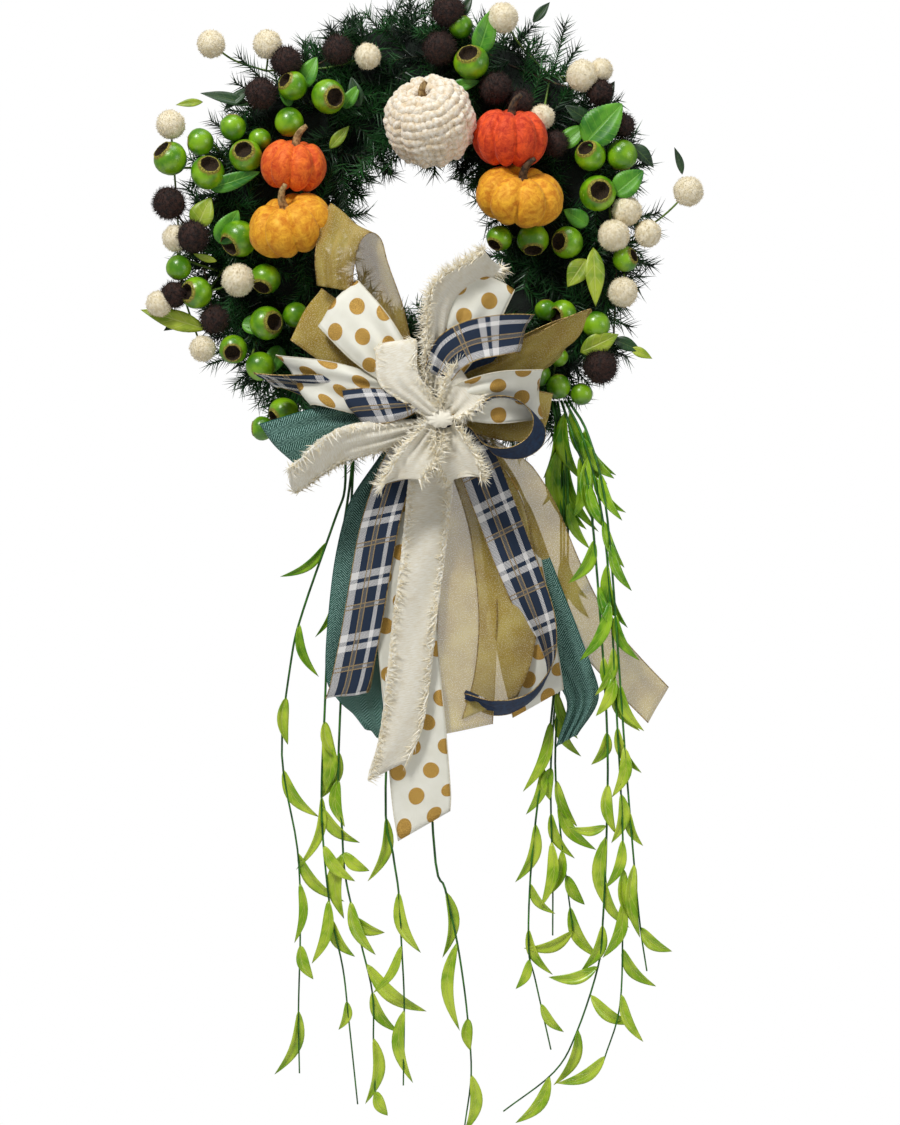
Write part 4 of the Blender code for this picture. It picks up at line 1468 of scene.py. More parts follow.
@dataclass
class PodPick:
    """A pick of green pods on stems from one hub."""

    setting: Setting
    name: str
    hub: tuple[float, float]
    pods: list[Pod]
    back: float = 0.0095

    def pod_shell(self, maker: MeshMaker, pod: Pod, centre: Vector, seed: int) -> None:
        """Add one pod: skin, rough rim and fibrous dish.

        Args:
            maker: The mesh to add to.
            pod: The pod's sizes.
            centre: Its middle.
            seed: Its own number, which sets its slight unevenness.
        """
        turn = facing(pod.mouth_clock, pod.mouth_tilt).to_track_quat("Z", "Y").to_matrix()
        outer = [(math.sin(a) * (1.0 + 0.02 * math.cos(3 * a)), -math.cos(a) * (0.98 if a < 1.6 else 0.92))
                 for a in (math.radians(deg) for deg in (10, 24, 40, 56, 72, 88, 104, 118, 130, 140))]
        rim = [(0.585, 0.785), (0.555, 0.80), (0.525, 0.785)]
        dish = [(0.50, 0.60), (0.42, 0.40), (0.24, 0.32)]
        sides = 22
        mouth = 1.0 + 0.05 * math.sin(seed * 1.7)

        def ring(across: float, up: float, rough: float) -> list[Vector]:
            """One turn of the profile."""
            made = []
            for side in range(sides):
                angle = 2 * math.pi * side / sides
                wobble = 1.0 + rough * math.sin(7 * angle + seed) + 0.015 * math.sin(2 * angle + seed * 2)
                flat = across * pod.radius * wobble
                made.append(
                    centre + turn @ Vector((flat * math.cos(angle), flat * math.sin(angle), up * pod.radius))
                )
            return made

        skin = [ring(across, up, 0.0) for across, up in outer]
        lip = [ring(across * mouth, up, 0.03) for across, up in rim]
        bowl = [ring(across * mouth, up, 0.08) for across, up in dish]
        marks = [[(side / sides, row / (len(skin) - 1)) for side in range(sides)] for row in range(len(skin))]
        maker.grid(skin, marks, 0, round_across=True)
        maker.grid([skin[-1], *lip], [[(0.5, 1.0)] * sides] * 4, 1, round_across=True)
        maker.grid([lip[-1], *bowl], [[(0.5, 0.5)] * sides] * 4, 2, round_across=True)
        maker.fan(skin[0], centre + turn @ Vector((0, 0, -0.985 * pod.radius)), (0.5, 0.0), 0)
        maker.fan(bowl[-1], centre + turn @ Vector((0, 0, 0.34 * pod.radius)), (0.5, 0.5), 2)

    def build(self) -> None:
        """Make the pick and settle it in place of its CAD node."""
        maker = MeshMaker()
        hub = self.setting.at(*self.hub, self.setting.pine_front + 0.012)
        for number, pod in enumerate(self.pods):
            depth = self.setting.pine_front - self.back - pod.radius - pod.forward
            centre = self.setting.at(pod.clock, pod.reach, depth)
            foot = centre - facing(pod.mouth_clock, min(pod.mouth_tilt, 80)) * pod.radius * 0.8
            bend = (hub + foot) / 2 + Vector((0.0, 0.004, 0.0))
            line = curve_through([hub, bend, foot], 5)
            maker.tube(line, [0.0013] * len(line), 6, 3)
            self.pod_shell(maker, pod, centre, number + len(self.name))
        pick = maker.build(f"pods_{self.name}", [POD_SKIN, POD_RIM, POD_HEART, PICK_STEM])
        settle(pick, Body.WREATH, "pod_green", f"pod_pick_{self.name}")


@dataclass
class PomSpray:
    """A spray of fluffy pom-poms on wire stems from one hub."""

    setting: Setting
    name: str
    colour: str
    hub: tuple[float, float]
    poms: list[Pom]
    back: float = 0.0095
    fuzz: float = 0.0034
    density: float = 260000.0

    def build(self) -> None:
        """Make the spray and settle it in place of its CAD node."""
        dark = self.colour == "brown"
        fluff = BROWN_FLUFF if dark else CREAM_FLUFF
        rings, sides = 14, 20
        maker = MeshMaker()
        stems = MeshMaker()
        hub = self.setting.at(*self.hub, self.setting.pine_front + 0.010)
        for number, pom in enumerate(self.poms):
            depth = self.setting.pine_front - self.back - pom.radius - pom.forward
            centre = self.setting.at(pom.clock, pom.reach, depth)
            bend = (hub * 0.4 + centre * 0.6) + Vector((0.0, 0.010, -0.004))
            line = curve_through([hub, bend, centre], 6)
            stems.tube(line, [0.0011] * len(line), 6)
            size = pom.radius - self.fuzz * 0.55
            rows = []
            for ring in range(1, rings):
                polar = math.pi * ring / rings
                row = []
                for side in range(sides):
                    turn = 2 * math.pi * side / sides
                    flat = math.sin(polar)
                    way = Vector((flat * math.cos(turn), flat * math.sin(turn), math.cos(polar)))
                    lump = 1.0 + 0.07 * noise.noise(way * 2.4 + Vector((number * 3.1, 0, self.hub[0])))
                    row.append(centre + way * size * lump)
                rows.append(row)
            pole = Vector((0, 0, size))
            maker.barrel(rows, rings, (centre + pole, centre - pole))
        balls = maker.build(f"{self.colour}_poms_{self.name}", [fluff])
        length = self.fuzz * (1.35 if dark else 0.62)
        values = {"Density": self.density, "Length": length, "Thickness": 0.00038, "Finish": fluff.material()}
        Growth.fluff().grow(balls, values)
        settle(balls, Body.WREATH, f"{self.colour}_fluff", f"{self.colour}_spray_{self.name}")
        wires = stems.build(f"{self.colour}_stems_{self.name}", [DARK_STEM if dark else PICK_STEM])
        settle(wires, Body.WREATH, f"{self.colour}_fluff")


# ---------------------------------------------------------------- pumpkins


@dataclass
class Pumpkin:
    """A stuffed fabric pumpkin with deep ribs and a stalk."""

    setting: Setting
    name: str
    clock: float
    reach: float
    width: float
    height: float
    lean: float
    turn: float
    ribs: int
    finish: Finish
    stalk_finish: Finish
    slot: str
    stalk_slot: str
    knitted: bool = False
    stalk: float = 0.026

    def shape(self, polar: float, angle: float) -> Vector:
        """A point of the skin.

        Args:
            polar: The angle from the stalk, in radians.
            angle: The angle round the stalk.

        Returns:
            The point, with the stalk up along Z.
        """
        groove = abs(math.sin(self.ribs * angle / 2))
        swell = 1.0 - 0.15 * (1.0 - groove) ** 2.2 * math.sin(polar) ** 0.5
        swell += 0.025 * noise.noise(
            Vector((math.cos(angle) * 2, math.sin(angle) * 2, polar * 1.5 + len(self.name)))
        )
        flat = math.sin(polar) ** 0.80 * swell
        dimple = 0.30 * math.exp(-((math.sin(polar) / 0.30) ** 2))
        up = math.cos(polar) * (1.0 - dimple) * (0.86 + 0.14 * groove)
        return Vector((
            flat * math.cos(angle) * self.width / 2, flat * math.sin(angle) * self.width / 2,
            up * self.height / 2,
        ))

    def build(self) -> None:
        """Make the pumpkin and its stalk, and settle them in place of their CAD nodes."""
        axes = Matrix.Rotation(
            math.radians(self.turn), 4, "Y",
        ) @ Matrix.Rotation(math.radians(self.lean), 4, "X")
        rings, sides = (15, 38) if self.knitted else (40, self.ribs * 14)
        inset = 0.90 if self.knitted else 1.0
        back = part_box(f"pumpkin_{self.name}")[1][1]
        depth = max(
            (axes @ self.shape(math.pi * i / 12, 0.5 * j)).y for i in range(13) for j in range(13)
        ) * inset
        centre = self.setting.at(self.clock, self.reach, back - depth - 0.001)
        rows = []
        for ring in range(1, rings):
            polar = math.pi * ring / rings
            row = [
                centre + axes @ (self.shape(polar, 2 * math.pi * side / sides) * inset)
                for side in range(sides)
            ]
            rows.append(row)
        top, bottom = (centre + axes @ self.shape(polar, 0.0) * inset for polar in (0.001, math.pi - 0.001))
        maker = MeshMaker()
        maker.barrel(rows, rings, (top, bottom))
        skin = maker.build(f"pumpkin_skin_{self.name}", [self.finish])
        if self.knitted:
            Growth.popcorn().grow(skin, {"Size": 0.0062, "Finish": self.finish.material()})
            skin.data.shade_smooth()
        settle(skin, Body.WREATH, self.slot, f"pumpkin_{self.name}")
        self.build_stalk(centre, axes)

    def build_stalk(self, centre: Vector, axes: Matrix) -> None:
        """Make the stalk: thicker at its foot, and bent over.

        Args:
            centre: The pumpkin's middle.
            axes: The pumpkin's lean and turn.
        """
        foot = self.height / 2 * 0.62
        rise = self.stalk
        bends = [
            (0.0, 0.0, foot), (0.0, -0.001, foot + rise * 0.4), (rise * 0.12, -0.002, foot + rise * 0.75),
            (rise * 0.34, -0.003, foot + rise),
        ]
        line = curve_through([centre + axes @ Vector(point) for point in bends], 5)
        radii = [0.0052 - 0.0026 * index / (len(line) - 1) for index in range(len(line))]
        radii[0] = 0.0075
        maker = MeshMaker()
        maker.tube(line, radii, 9)
        stem = maker.build(f"pumpkin_stem_{self.name}", [self.stalk_finish])
        settle(stem, Body.WREATH, self.stalk_slot, f"pumpkin_stalk_{self.name}")


# ---------------------------------------------------------------- leaves


class Blade(Enum):
    """The kinds of leaf, each with its outline: share of width at a share of length."""

    SERRATED = "serrated"
    LANCE = "lance"
    CRESCENT = "crescent"

    def half_width(self, share: float) -> float:
        """The half width of the outline, from 0 to 1.

        Args:
            share: How far along the blade, from 0 to 1.

        Returns:
            The half width as a share of the widest.
        """
        if self is Blade.SERRATED:
            smooth = math.sin(math.pi * share**0.75) ** 0.75
            teeth = 1.0 - 0.10 * ((share * 15) % 1.0)
            return max(smooth * teeth, 0.0)
        if self is Blade.LANCE:
            return math.sin(math.pi * share**0.85)
        return math.sin(math.pi * share**0.80) ** 0.85


@dataclass(frozen=True)
class Leaf:
    """One leaf: its kind, where it starts and the way it points."""

    blade: Blade
    root: Vector
    along: Vector
    face: Vector
    length: float
    width: float
    curl: float = 0.25
    fold: float = 0.25
    sweep: float = 0.0

    def add_to(self, maker: MeshMaker, slot: int, steps: int = 10) -> None:
        """Add the leaf's two faces to a mesh.

        Args:
            maker: The mesh to add to.
            slot: The number of its finish.
            steps: Steps along the blade.
        """
        along = self.along.normalized()
        face = (self.face - along * self.face.dot(along)).normalized()
        side = along.cross(face)
        thick = 0.00035
        places = (-1.0, -0.5, 0.0, 0.5, 1.0)
        upper, lower, marks = [], [], []
        for step in range(steps + 1):
            share = step / steps
            half = self.blade.half_width(share) * self.width / 2
            middle = self.root + along * self.length * share - face * self.curl * self.length * share * share
            middle = middle + side * self.sweep * self.length * math.sin(math.pi * share)
            row = []
            for place in places:
                lift = abs(place) * half * self.fold
                row.append(middle + side * half * place + face * lift)
            upper.append([point + face * thick for point in row])
            lower.append([point - face * thick for point in row])
            marks.append([(place, share) for place in places])
        ring = [front + back[::-1] for front, back in zip(upper, lower)]
        turned = [front + front[::-1] for front in marks]
        maker.grid(ring, turned, slot, round_across=True)


@dataclass
class LeafSet:
    """The leaves tucked among the picks, in three greens."""

    setting: Setting

    def build(self) -> None:
        """Make the leaves of each green as one piece."""
        front = self.setting.pine_front - 0.014
        # Each leaf is (clock, reach, the clock that it points to, length and width in millimetres, forward).
        bright = [
            (-39, 0.034, 25, 36, 22, -0.004), (19, 0.035, 20, 48, 26, -0.014),
            (13, -0.007, 80, 32, 14, -0.010), (63, 0.038, 43, 57, 41, -0.018),
            (80, 0.051, 51, 39, 29, -0.018), (-79, 0.063, 74, 56, 19, -0.016),
            (-94, 0.050, 34, 40, 27, -0.016), (60, 0.016, 46, 34, 22, -0.004),
            (-31, -0.010, 34, 29, 15, -0.004), (-46, 0.028, -15, 34, 15, -0.004),
            (-118, 0.050, 100, 34, 22, -0.004), (88, 0.020, -60, 30, 20, -0.004),
            (-130, 0.030, -160, 34, 22, -0.002),
        ]
        lime = [
            (-90, 0.074, 24, 38, 27, -0.010), (-115, 0.087, -74, 73, 22, 0.002),
            (-99, 0.054, -76, 27, 8, -0.012), (100, 0.020, -147, 36, 24, -0.014),
            (96, 0.026, 177, 63, 21, -0.016), (127, 0.055, 67, 45, 24, -0.012),
            (-59, 0.106, -96, 29, 9, 0.0), (119, 0.098, 114, 26, 11, -0.004),
            (-47, -0.034, 42, 32, 13, -0.002),
        ]
        dark = [
            (-53, 0.061, -74, 55, 14, 0.0), (59, 0.057, -56, 37, 17, -0.006),
            (56, 0.074, 27, 31, 15, -0.004), (68, 0.084, 133, 35, 17, -0.004), (29, 0.093, 40, 28, 11, 0.0),
            (11, 0.068, 31, 28, 13, -0.006), (78, 0.128, -13, 30, 9, 0.0), (-50, 0.074, -129, 35, 13, 0.0),
            (-25, -0.017, -18, 34, 17, -0.002), (119, 0.077, 113, 33, 15, -0.002),
            (-111, 0.101, -112, 29, 13, 0.002), (78, -0.050, 135, 38, 15, -0.002),
        ]
        sets = (("bright", BRIGHT_LEAF, Blade.SERRATED, bright), ("lime", LIME_LEAF, Blade.LANCE, lime),
                ("dark", DARK_LEAF, Blade.LANCE, dark))
        for name, finish, blade, places in sets:
            maker = MeshMaker()
            for number, (clock, reach, points_to, length, width, forward) in enumerate(places):
                root = self.setting.at(clock, reach, front + forward)
                aim = math.radians(points_to)
                along = Vector((math.sin(aim), -0.25, math.cos(aim)))
                lean = 0.35 * math.sin(number * 2.3)
                face = Vector((lean, -1.0, 0.3 * math.cos(number * 1.9)))
                leaf = Leaf(blade, root, along, face, length * MM, width * MM, 0.18, 0.32)
                leaf.add_to(maker, 0, 30 if blade is Blade.SERRATED else 12)
            piece = maker.build(f"leaves_{name}", [finish])
            settle(piece, Body.WREATH, "vine_green")


# ---------------------------------------------------------------- ribbons

FRINGE = {"Spacing": 0.00055, "Length": 0.0135, "Thickness": 0.00095}
EDGE_WIRE = 0.00055
CLOTH_WALL = 0.0004


@dataclass(frozen=True)
class Stop:
    """One station of a ribbon, in millimetres and degrees from the bow's core.

    across, up and forward place its middle. side is the way its width points in the picture plane, tilt how
    far the width leans to the front, and gather the share of the width that is spread out.
    """

    across: float
    up: float
    forward: float
    side: float
    tilt: float = 0.0
    gather: float = 1.0


class Cloth(Enum):
    """The ribbons of the bow: finishes of face, back and edge, record slot, width and whether they fray."""

    GOLD = (GOLD_MESH, GOLD_MESH, GOLD_WIRE, "gold_mesh", 0.0635, False)
    SHEER = (GOLD_SHEER, GOLD_VEIL, GOLD_WIRE, "gold_mesh", 0.0635, False)
    POLKA = (POLKA, POLKA, POLKA_HEM, "polka_satin", 0.0635, False)
    PLAID = (PLAID, PLAID_BACK, GOLD_WIRE, "plaid_twill", 0.038, False)
    TEAL = (TEAL, TEAL, TEAL_HEM, "teal_twill", 0.0635, False)
    SILK = (SILK, SILK, FRAY, "ivory_silk", 0.044, True)

    def __init__(
        self, finish: Finish, reverse: Finish, edge: Finish, slot: str, width: float, frayed: bool
    ) -> None:
        """Keep the ribbon's facts under names.

        Args:
            finish: The face's finish.
            reverse: The finish of its other side.
            edge: The edge's finish.
            slot: The record's material slot.
            width: The cut width in metres.
            frayed: True where the edges are pulled into a fringe.
        """
        self.finish, self.reverse, self.edge = finish, reverse, edge
        self.slot, self.cut, self.frayed = slot, width, frayed


@dataclass
class Ribbon:
    """A length of ribbon along stations, with wired or frayed edges."""

    setting: Setting
    name: str
    cloth: Cloth
    stops: list[Stop]
    body: Body = Body.WREATH
    node: str = ""
    width: float = 0.0
    cup: float = 0.0
    wave: float = 1.2
    held: str = "folded"
    pleats: int = 3
    steps: int = 9
    grid: int = 18
    phase: float = 0.0

    def stations(self) -> tuple[list[Vector], list[Vector], list[float]]:
        """Smooth the stops.

        Returns:
            The middle line, the width's direction and the gather at each step.
        """
        places = [self.setting.from_bow(stop.across, stop.up, stop.forward) for stop in self.stops]
        sides = []
        for stop in self.stops:
            turn, lean = math.radians(stop.side), math.radians(stop.tilt)
            sides.append(
                Vector((math.cos(turn) * math.cos(lean), -math.sin(lean), math.sin(turn) * math.cos(lean)))
            )
        gathers = [Vector((stop.gather, 0.0)) for stop in self.stops]
        middle = curve_through(places, self.steps)
        across = [side.normalized() for side in curve_through(sides, self.steps)]
        gather = [max(0.12, min(1.0, share.x)) for share in curve_through(gathers, self.steps)]
        return middle, across, gather

    def net(self) -> tuple[list[list[Vector]], list[float], list[list[Vector]]]:
        """The ribbon's points, row by row.

        Returns:
            The rows, the run along the ribbon at each row, and the outward direction at its two edges.
        """
        middle, across, gather = self.stations()
        width = self.width or self.cloth.cut
        rows, runs, out = [], [], [[], []]
        run = 0.0
        for index, point in enumerate(middle):
            if index:
                run += (point - middle[index - 1]).length
            ahead = middle[min(index + 1, len(middle) - 1)] - middle[max(index - 1, 0)]
            side = across[index]
            normal = ahead.cross(side).normalized()
            chord = width * gather[index]
            depth = chord / (math.pi * self.pleats) * math.sqrt(
                max(0.0, (1 / gather[index]) ** 2 - 1.0)
            ) * 0.9
            row = []
            for place in range(self.grid + 1):
                share = place / self.grid - 0.5
                lift = depth * math.sin(2 * math.pi * self.pleats * share + self.phase) / 1.4
                lift += self.cup * MM * (1 - 4 * share * share)
                lift += self.wave * MM * 2 * share * math.sin(run * 62 + self.phase)
                lift += self.wave * MM * 0.7 * math.sin(run * 41 + share * 7 + self.phase * 2)
                row.append(point + side * share * chord + normal * lift)
            rows.append(row)
            runs.append(run)
            out[0].append((row[0] - row[1]).normalized())
            out[1].append((row[-1] - row[-2]).normalized())
        return rows, runs, out

    def edges(self, rows: list[list[Vector]], out: list[list[Vector]]) -> bpy.types.Object:
        """The wire in the edges, or the fringe along them.

        Args:
            rows: The ribbon's points.
            out: The outward direction at its two edges.

        Returns:
            The edge piece.
        """
        borders = [[row[0] for row in rows], [row[-1] for row in rows]]
        if self.cloth.frayed:
            inner = [[row[0].lerp(row[1], 0.7) for row in rows], [row[-1].lerp(row[-2], 0.7) for row in rows]]
            piece = bare_lines(f"{self.name}_fringe", borders + inner, out + out)
            return Growth.fringe().grow(piece, {**FRINGE, "Finish": self.cloth.edge.material()})
        maker = MeshMaker()
        for border in borders:
            maker.tube(border, [EDGE_WIRE] * len(border), 5)
        return maker.build(f"{self.name}_wire", [self.cloth.edge])

    def build(self) -> bpy.types.Object:
        """Make the ribbon and its edges, and settle them."""
        rows, runs, out = self.net()
        width = self.width or self.cloth.cut
        maker = MeshMaker()
        marks = [[(place / self.grid * width, run) for place in range(self.grid + 1)] for run in runs]
        front = min(range(1, len(rows)), key=lambda index: rows[index][self.grid // 2].y)
        travel = rows[front][self.grid // 2] - rows[front - 1][self.grid // 2]
        if (rows[front][-1] - rows[front][0]).cross(travel).y > 0:
            rows = [row[::-1] for row in rows]
            marks = [row[::-1] for row in marks]
        maker.grid(rows, marks)
        cloth = maker.build(self.name, [self.cloth.finish, self.cloth.reverse], as_laid=True)
        wall = cloth.modifiers.new("wall", "SOLIDIFY")
        wall.thickness = CLOTH_WALL
        wall.offset = 0.0
        wall.material_offset = 1
        edge = self.edges(rows, out)
        settle(edge, self.body, self.cloth.slot)
        return settle(cloth, self.body, self.cloth.slot, *([self.node] if self.node else []))


@dataclass
class Bow:
    """The bow: loops of five ribbons round a gathered knot."""

    setting: Setting

    def loop(
        self,
        name: str,
        cloth: Cloth,
        node: str,
        tip: tuple[float, float],
        side: float,
        depth: tuple[float, float],
        **extra: Any,
    ) -> Ribbon:
        """A loop that goes out behind, turns over at its tip and comes back in front.

        Args:
            name: The loop's name.
            cloth: Its ribbon.
            node: The CAD layer that it stands for.
            tip: The middle of its tip, across and up from the core in millimetres.
            side: The way its width points at the tip, in degrees.
            depth: How far to the front its back and its face lie, in millimetres.
            **extra: tilt at the tip, belly of its legs, root's distance from the knot, heart for a knot that
                is off the core's middle, and the ribbon's own fields.

        Returns:
            The ribbon, not yet made.
        """
        tilt = extra.pop("tilt", 0.0)
        belly = extra.pop("belly", 0.0)
        root = extra.pop("root", 10.0)
        pinch = 0.28 if root > 9 else 0.45
        heart = Vector(extra.pop("heart", (0.0, 0.0)))
        far = Vector(tip) - heart
        way = far.normalized()
        normal = Vector((-way.y, way.x))
        square = math.degrees(math.atan2(normal.y, normal.x))
        if math.cos(math.radians(square - side)) < 0:
            square += 180
        square = side + ((square - side + 180) % 360 - 180)
        back, face = depth
        mid_depth = (back + face) / 2
        near = way * root
        bend = far * 0.55 + normal * belly

        def part(share: float) -> float:
            """The width's direction between the root and the tip."""
            return square + (side - square) * share

        stops = [
            Stop(near.x, near.y, back, part(0.0), 0.0, pinch),
            Stop(bend.x * 0.6, bend.y * 0.6, back - 1, part(0.3), tilt * 0.3, 0.62),
            Stop(bend.x * 1.25, bend.y * 1.25, back, part(0.6), tilt * 0.7, 0.92),
            Stop(far.x * 0.97, far.y * 0.97, back * 0.75 + face * 0.25, part(1.0), tilt, 1.0),
            Stop(far.x, far.y, mid_depth, part(1.0), tilt, 1.0),
            Stop(far.x * 0.96, far.y * 0.96, back * 0.2 + face * 0.8, part(1.0), tilt, 1.0),
            Stop(bend.x * 1.2, bend.y * 1.2, face + 1, part(0.75), tilt * 0.7, 0.95),
            Stop(bend.x * 0.62, bend.y * 0.62, face, part(0.4), tilt * 0.3, 0.66),
            Stop(near.x, near.y, face - 2, part(0.0), 0.0, pinch),
        ]
        moved = [replace(stop, across=stop.across + heart.x, up=stop.up + heart.y) for stop in stops]
        return Ribbon(self.setting, name, cloth, moved, node=node, **extra)

    def loops(self) -> list[Ribbon]:
        """Every loop of the bow, from the back to the front."""
        gold, teal, polka = "bow_loops_gold", "bow_loops_teal", "bow_loops_polka"
        plaid, ivory, centre = "bow_loops_plaid", "bow_loops_ivory", "bow_loops_ivory_centre"
        fold = [
            Stop(-4, 12, 4, 20, 0, 0.3), Stop(-32, 62, 4, -5, 40, 0.75), Stop(-48, 110, 6, -10, 50, 0.95),
            Stop(-60, 150, 10, -14, 50), Stop(-72, 184, 16, -30, 40), Stop(-85, 196, 24, -45, 30),
            Stop(-95, 176, 30, -40, 25, 0.85), Stop(-101, 148, 33, -25, 15, 0.7),
            Stop(-100, 122, 32, -10, 5, 0.6),
        ]
        arch = [
            Stop(8, 6, 30, 150, 0, 0.35), Stop(30, 44, 28, 125, 10, 0.7), Stop(62, 62, 28, 100, 20, 0.9),
            Stop(96, 74, 32, 68, 15), Stop(102, 74, 42, 68, 10), Stop(97, 73, 54, 70, 5),
            Stop(70, 70, 60, 92), Stop(42, 64, 61, 108), Stop(20, 50, 61, 130, 0, 0.95),
            Stop(8, 28, 58, 150, 0, 0.7),
        ]
        knot = (12.0, -18.0)
        return [
            Ribbon(self.setting, "loop_gold_up", Cloth.SHEER, fold, node=gold, wave=2.0, phase=1.0),
            self.loop("loop_gold_left", Cloth.GOLD, gold, (-131, 97), 60, (2, 15), phase=0.6, cup=2),
            self.loop(
                "loop_gold_right", Cloth.SHEER, gold, (156, 78), 56, (2, 18), tilt=35, phase=2.2, wave=3.0,
                cup=-2,
            ),
            self.loop("loop_gold_low_right", Cloth.GOLD, gold, (124, -14), 78, (4, 24), tilt=35, phase=3.0),
            self.loop("loop_teal_left", Cloth.TEAL, teal, (-158, -44), 133, (10, 30), phase=0.4, cup=2),
            self.loop(
                "loop_plaid_left_back", Cloth.PLAID, plaid, (-172, 26), 150, (14, 38), tilt=50, phase=1.4,
                width=0.042,
            ),
            self.loop(
                "loop_polka_up_left", Cloth.POLKA, polka, (-97, 107), 51, (16, 48), phase=0.9, wave=2.2,
                cup=2,
            ),
            self.loop(
                "loop_polka_left", Cloth.POLKA, polka, (-142, 26), 128, (20, 46), phase=2.0, wave=3.0,
            ),
            self.loop(
                "loop_polka_up_right", Cloth.POLKA, polka, (60, 132), -24, (18, 46), phase=0.2, wave=2.0,
                cup=2,
            ),
            self.loop(
                "loop_ivory_up_right", Cloth.SILK, ivory, (64, 152), 150, (24, 54), tilt=55, belly=22,
                phase=0.5,
            ),
            self.loop(
                "loop_polka_right", Cloth.POLKA, polka, (118, 10), 90, (26, 56), tilt=40, phase=1.2, cup=4,
            ),
            Ribbon(
                self.setting, "loop_plaid_right", Cloth.PLAID, arch, node=plaid, phase=0.7, cup=2,
                width=0.042,
            ),
            Ribbon(
                self.setting, "loop_plaid_low_right", Cloth.PLAID, self.curl_stops(), node=plaid, phase=0.3,
                wave=0.6, width=0.042,
            ),
            self.loop(
                "loop_ivory_low_left", Cloth.SILK, ivory, (-144, -80), 102, (28, 50), tilt=55, belly=-12,
                phase=0.8, cup=2, heart=knot,
            ),
            self.loop(
                "loop_plaid_left", Cloth.PLAID, plaid, (-80, -4), 122, (34, 58), phase=1.8, cup=3,
                width=0.042,
            ),
            self.loop(
                "loop_ivory_top", Cloth.SILK, centre, (-36, 60), 12, (44, 62), phase=0.2, cup=5, root=9,
                heart=knot, belly=12,
            ),
            self.loop(
                "loop_ivory_right", Cloth.SILK, centre, (44, 26), 130, (44, 61), phase=1.1, cup=5, root=9,
                heart=knot,
            ),
            self.loop(
                "loop_ivory_low", Cloth.SILK, centre, (-30, -84), 10, (42, 61), phase=0.4, cup=6, root=9,
                heart=knot, tilt=15,
            ),
            self.loop(
                "loop_ivory_low_right", Cloth.SILK, centre, (38, -80), 8, (42, 60), phase=2.1, cup=6,
                root=9, heart=knot, tilt=35,
            ),
        ]

    def curl_stops(self) -> list[Stop]:
        """The stations of the plaid loop that is seen along its width, as a round curl."""
        made = [Stop(12, -4, 34, 120, 40, 0.4), Stop(34, -6, 36, 135, 60, 0.8)]
        for step in range(8):
            angle = math.radians(150 - 45 * step)
            made.append(Stop(82 + 34 * math.cos(angle), -25 + 27 * math.sin(angle), 40, 140, 66))
        made.append(Stop(36, -30, 38, 130, 50, 0.7))
        made.append(Stop(12, -16, 36, 110, 30, 0.4))
        return made

    def knot(self) -> None:
        """The gathered silk round the core, in soft pleats."""
        rows = []
        steps, sides = 14, 40
        for step in range(steps + 1):
            share = step / steps
            swell = 0.8 + 0.35 * math.sin(math.pi * share)
            row = []
            for side in range(sides):
                turn = 2 * math.pi * side / sides
                pleat = 1.0 + 0.10 * math.sin(9 * turn + 1.2 * math.sin(3 * share))
                radius = 13 * swell * pleat
                place = (
                    12 * share + radius * math.cos(turn) * 1.25,
                    -18 * share + radius * math.sin(turn) * 0.8,
                )
                row.append(self.setting.from_bow(*place, 4 + 62 * share))
            rows.append(row)
        maker = MeshMaker()
        maker.barrel(rows, steps, span=(0.08, 0.07))
        settle(maker.build("bow_knot", [SILK]), Body.WREATH, "ivory_silk", "bow_core")

    def build(self) -> None:
        """Make the knot and every loop."""
        self.knot()
        for ribbon in self.loops():
            ribbon.build()


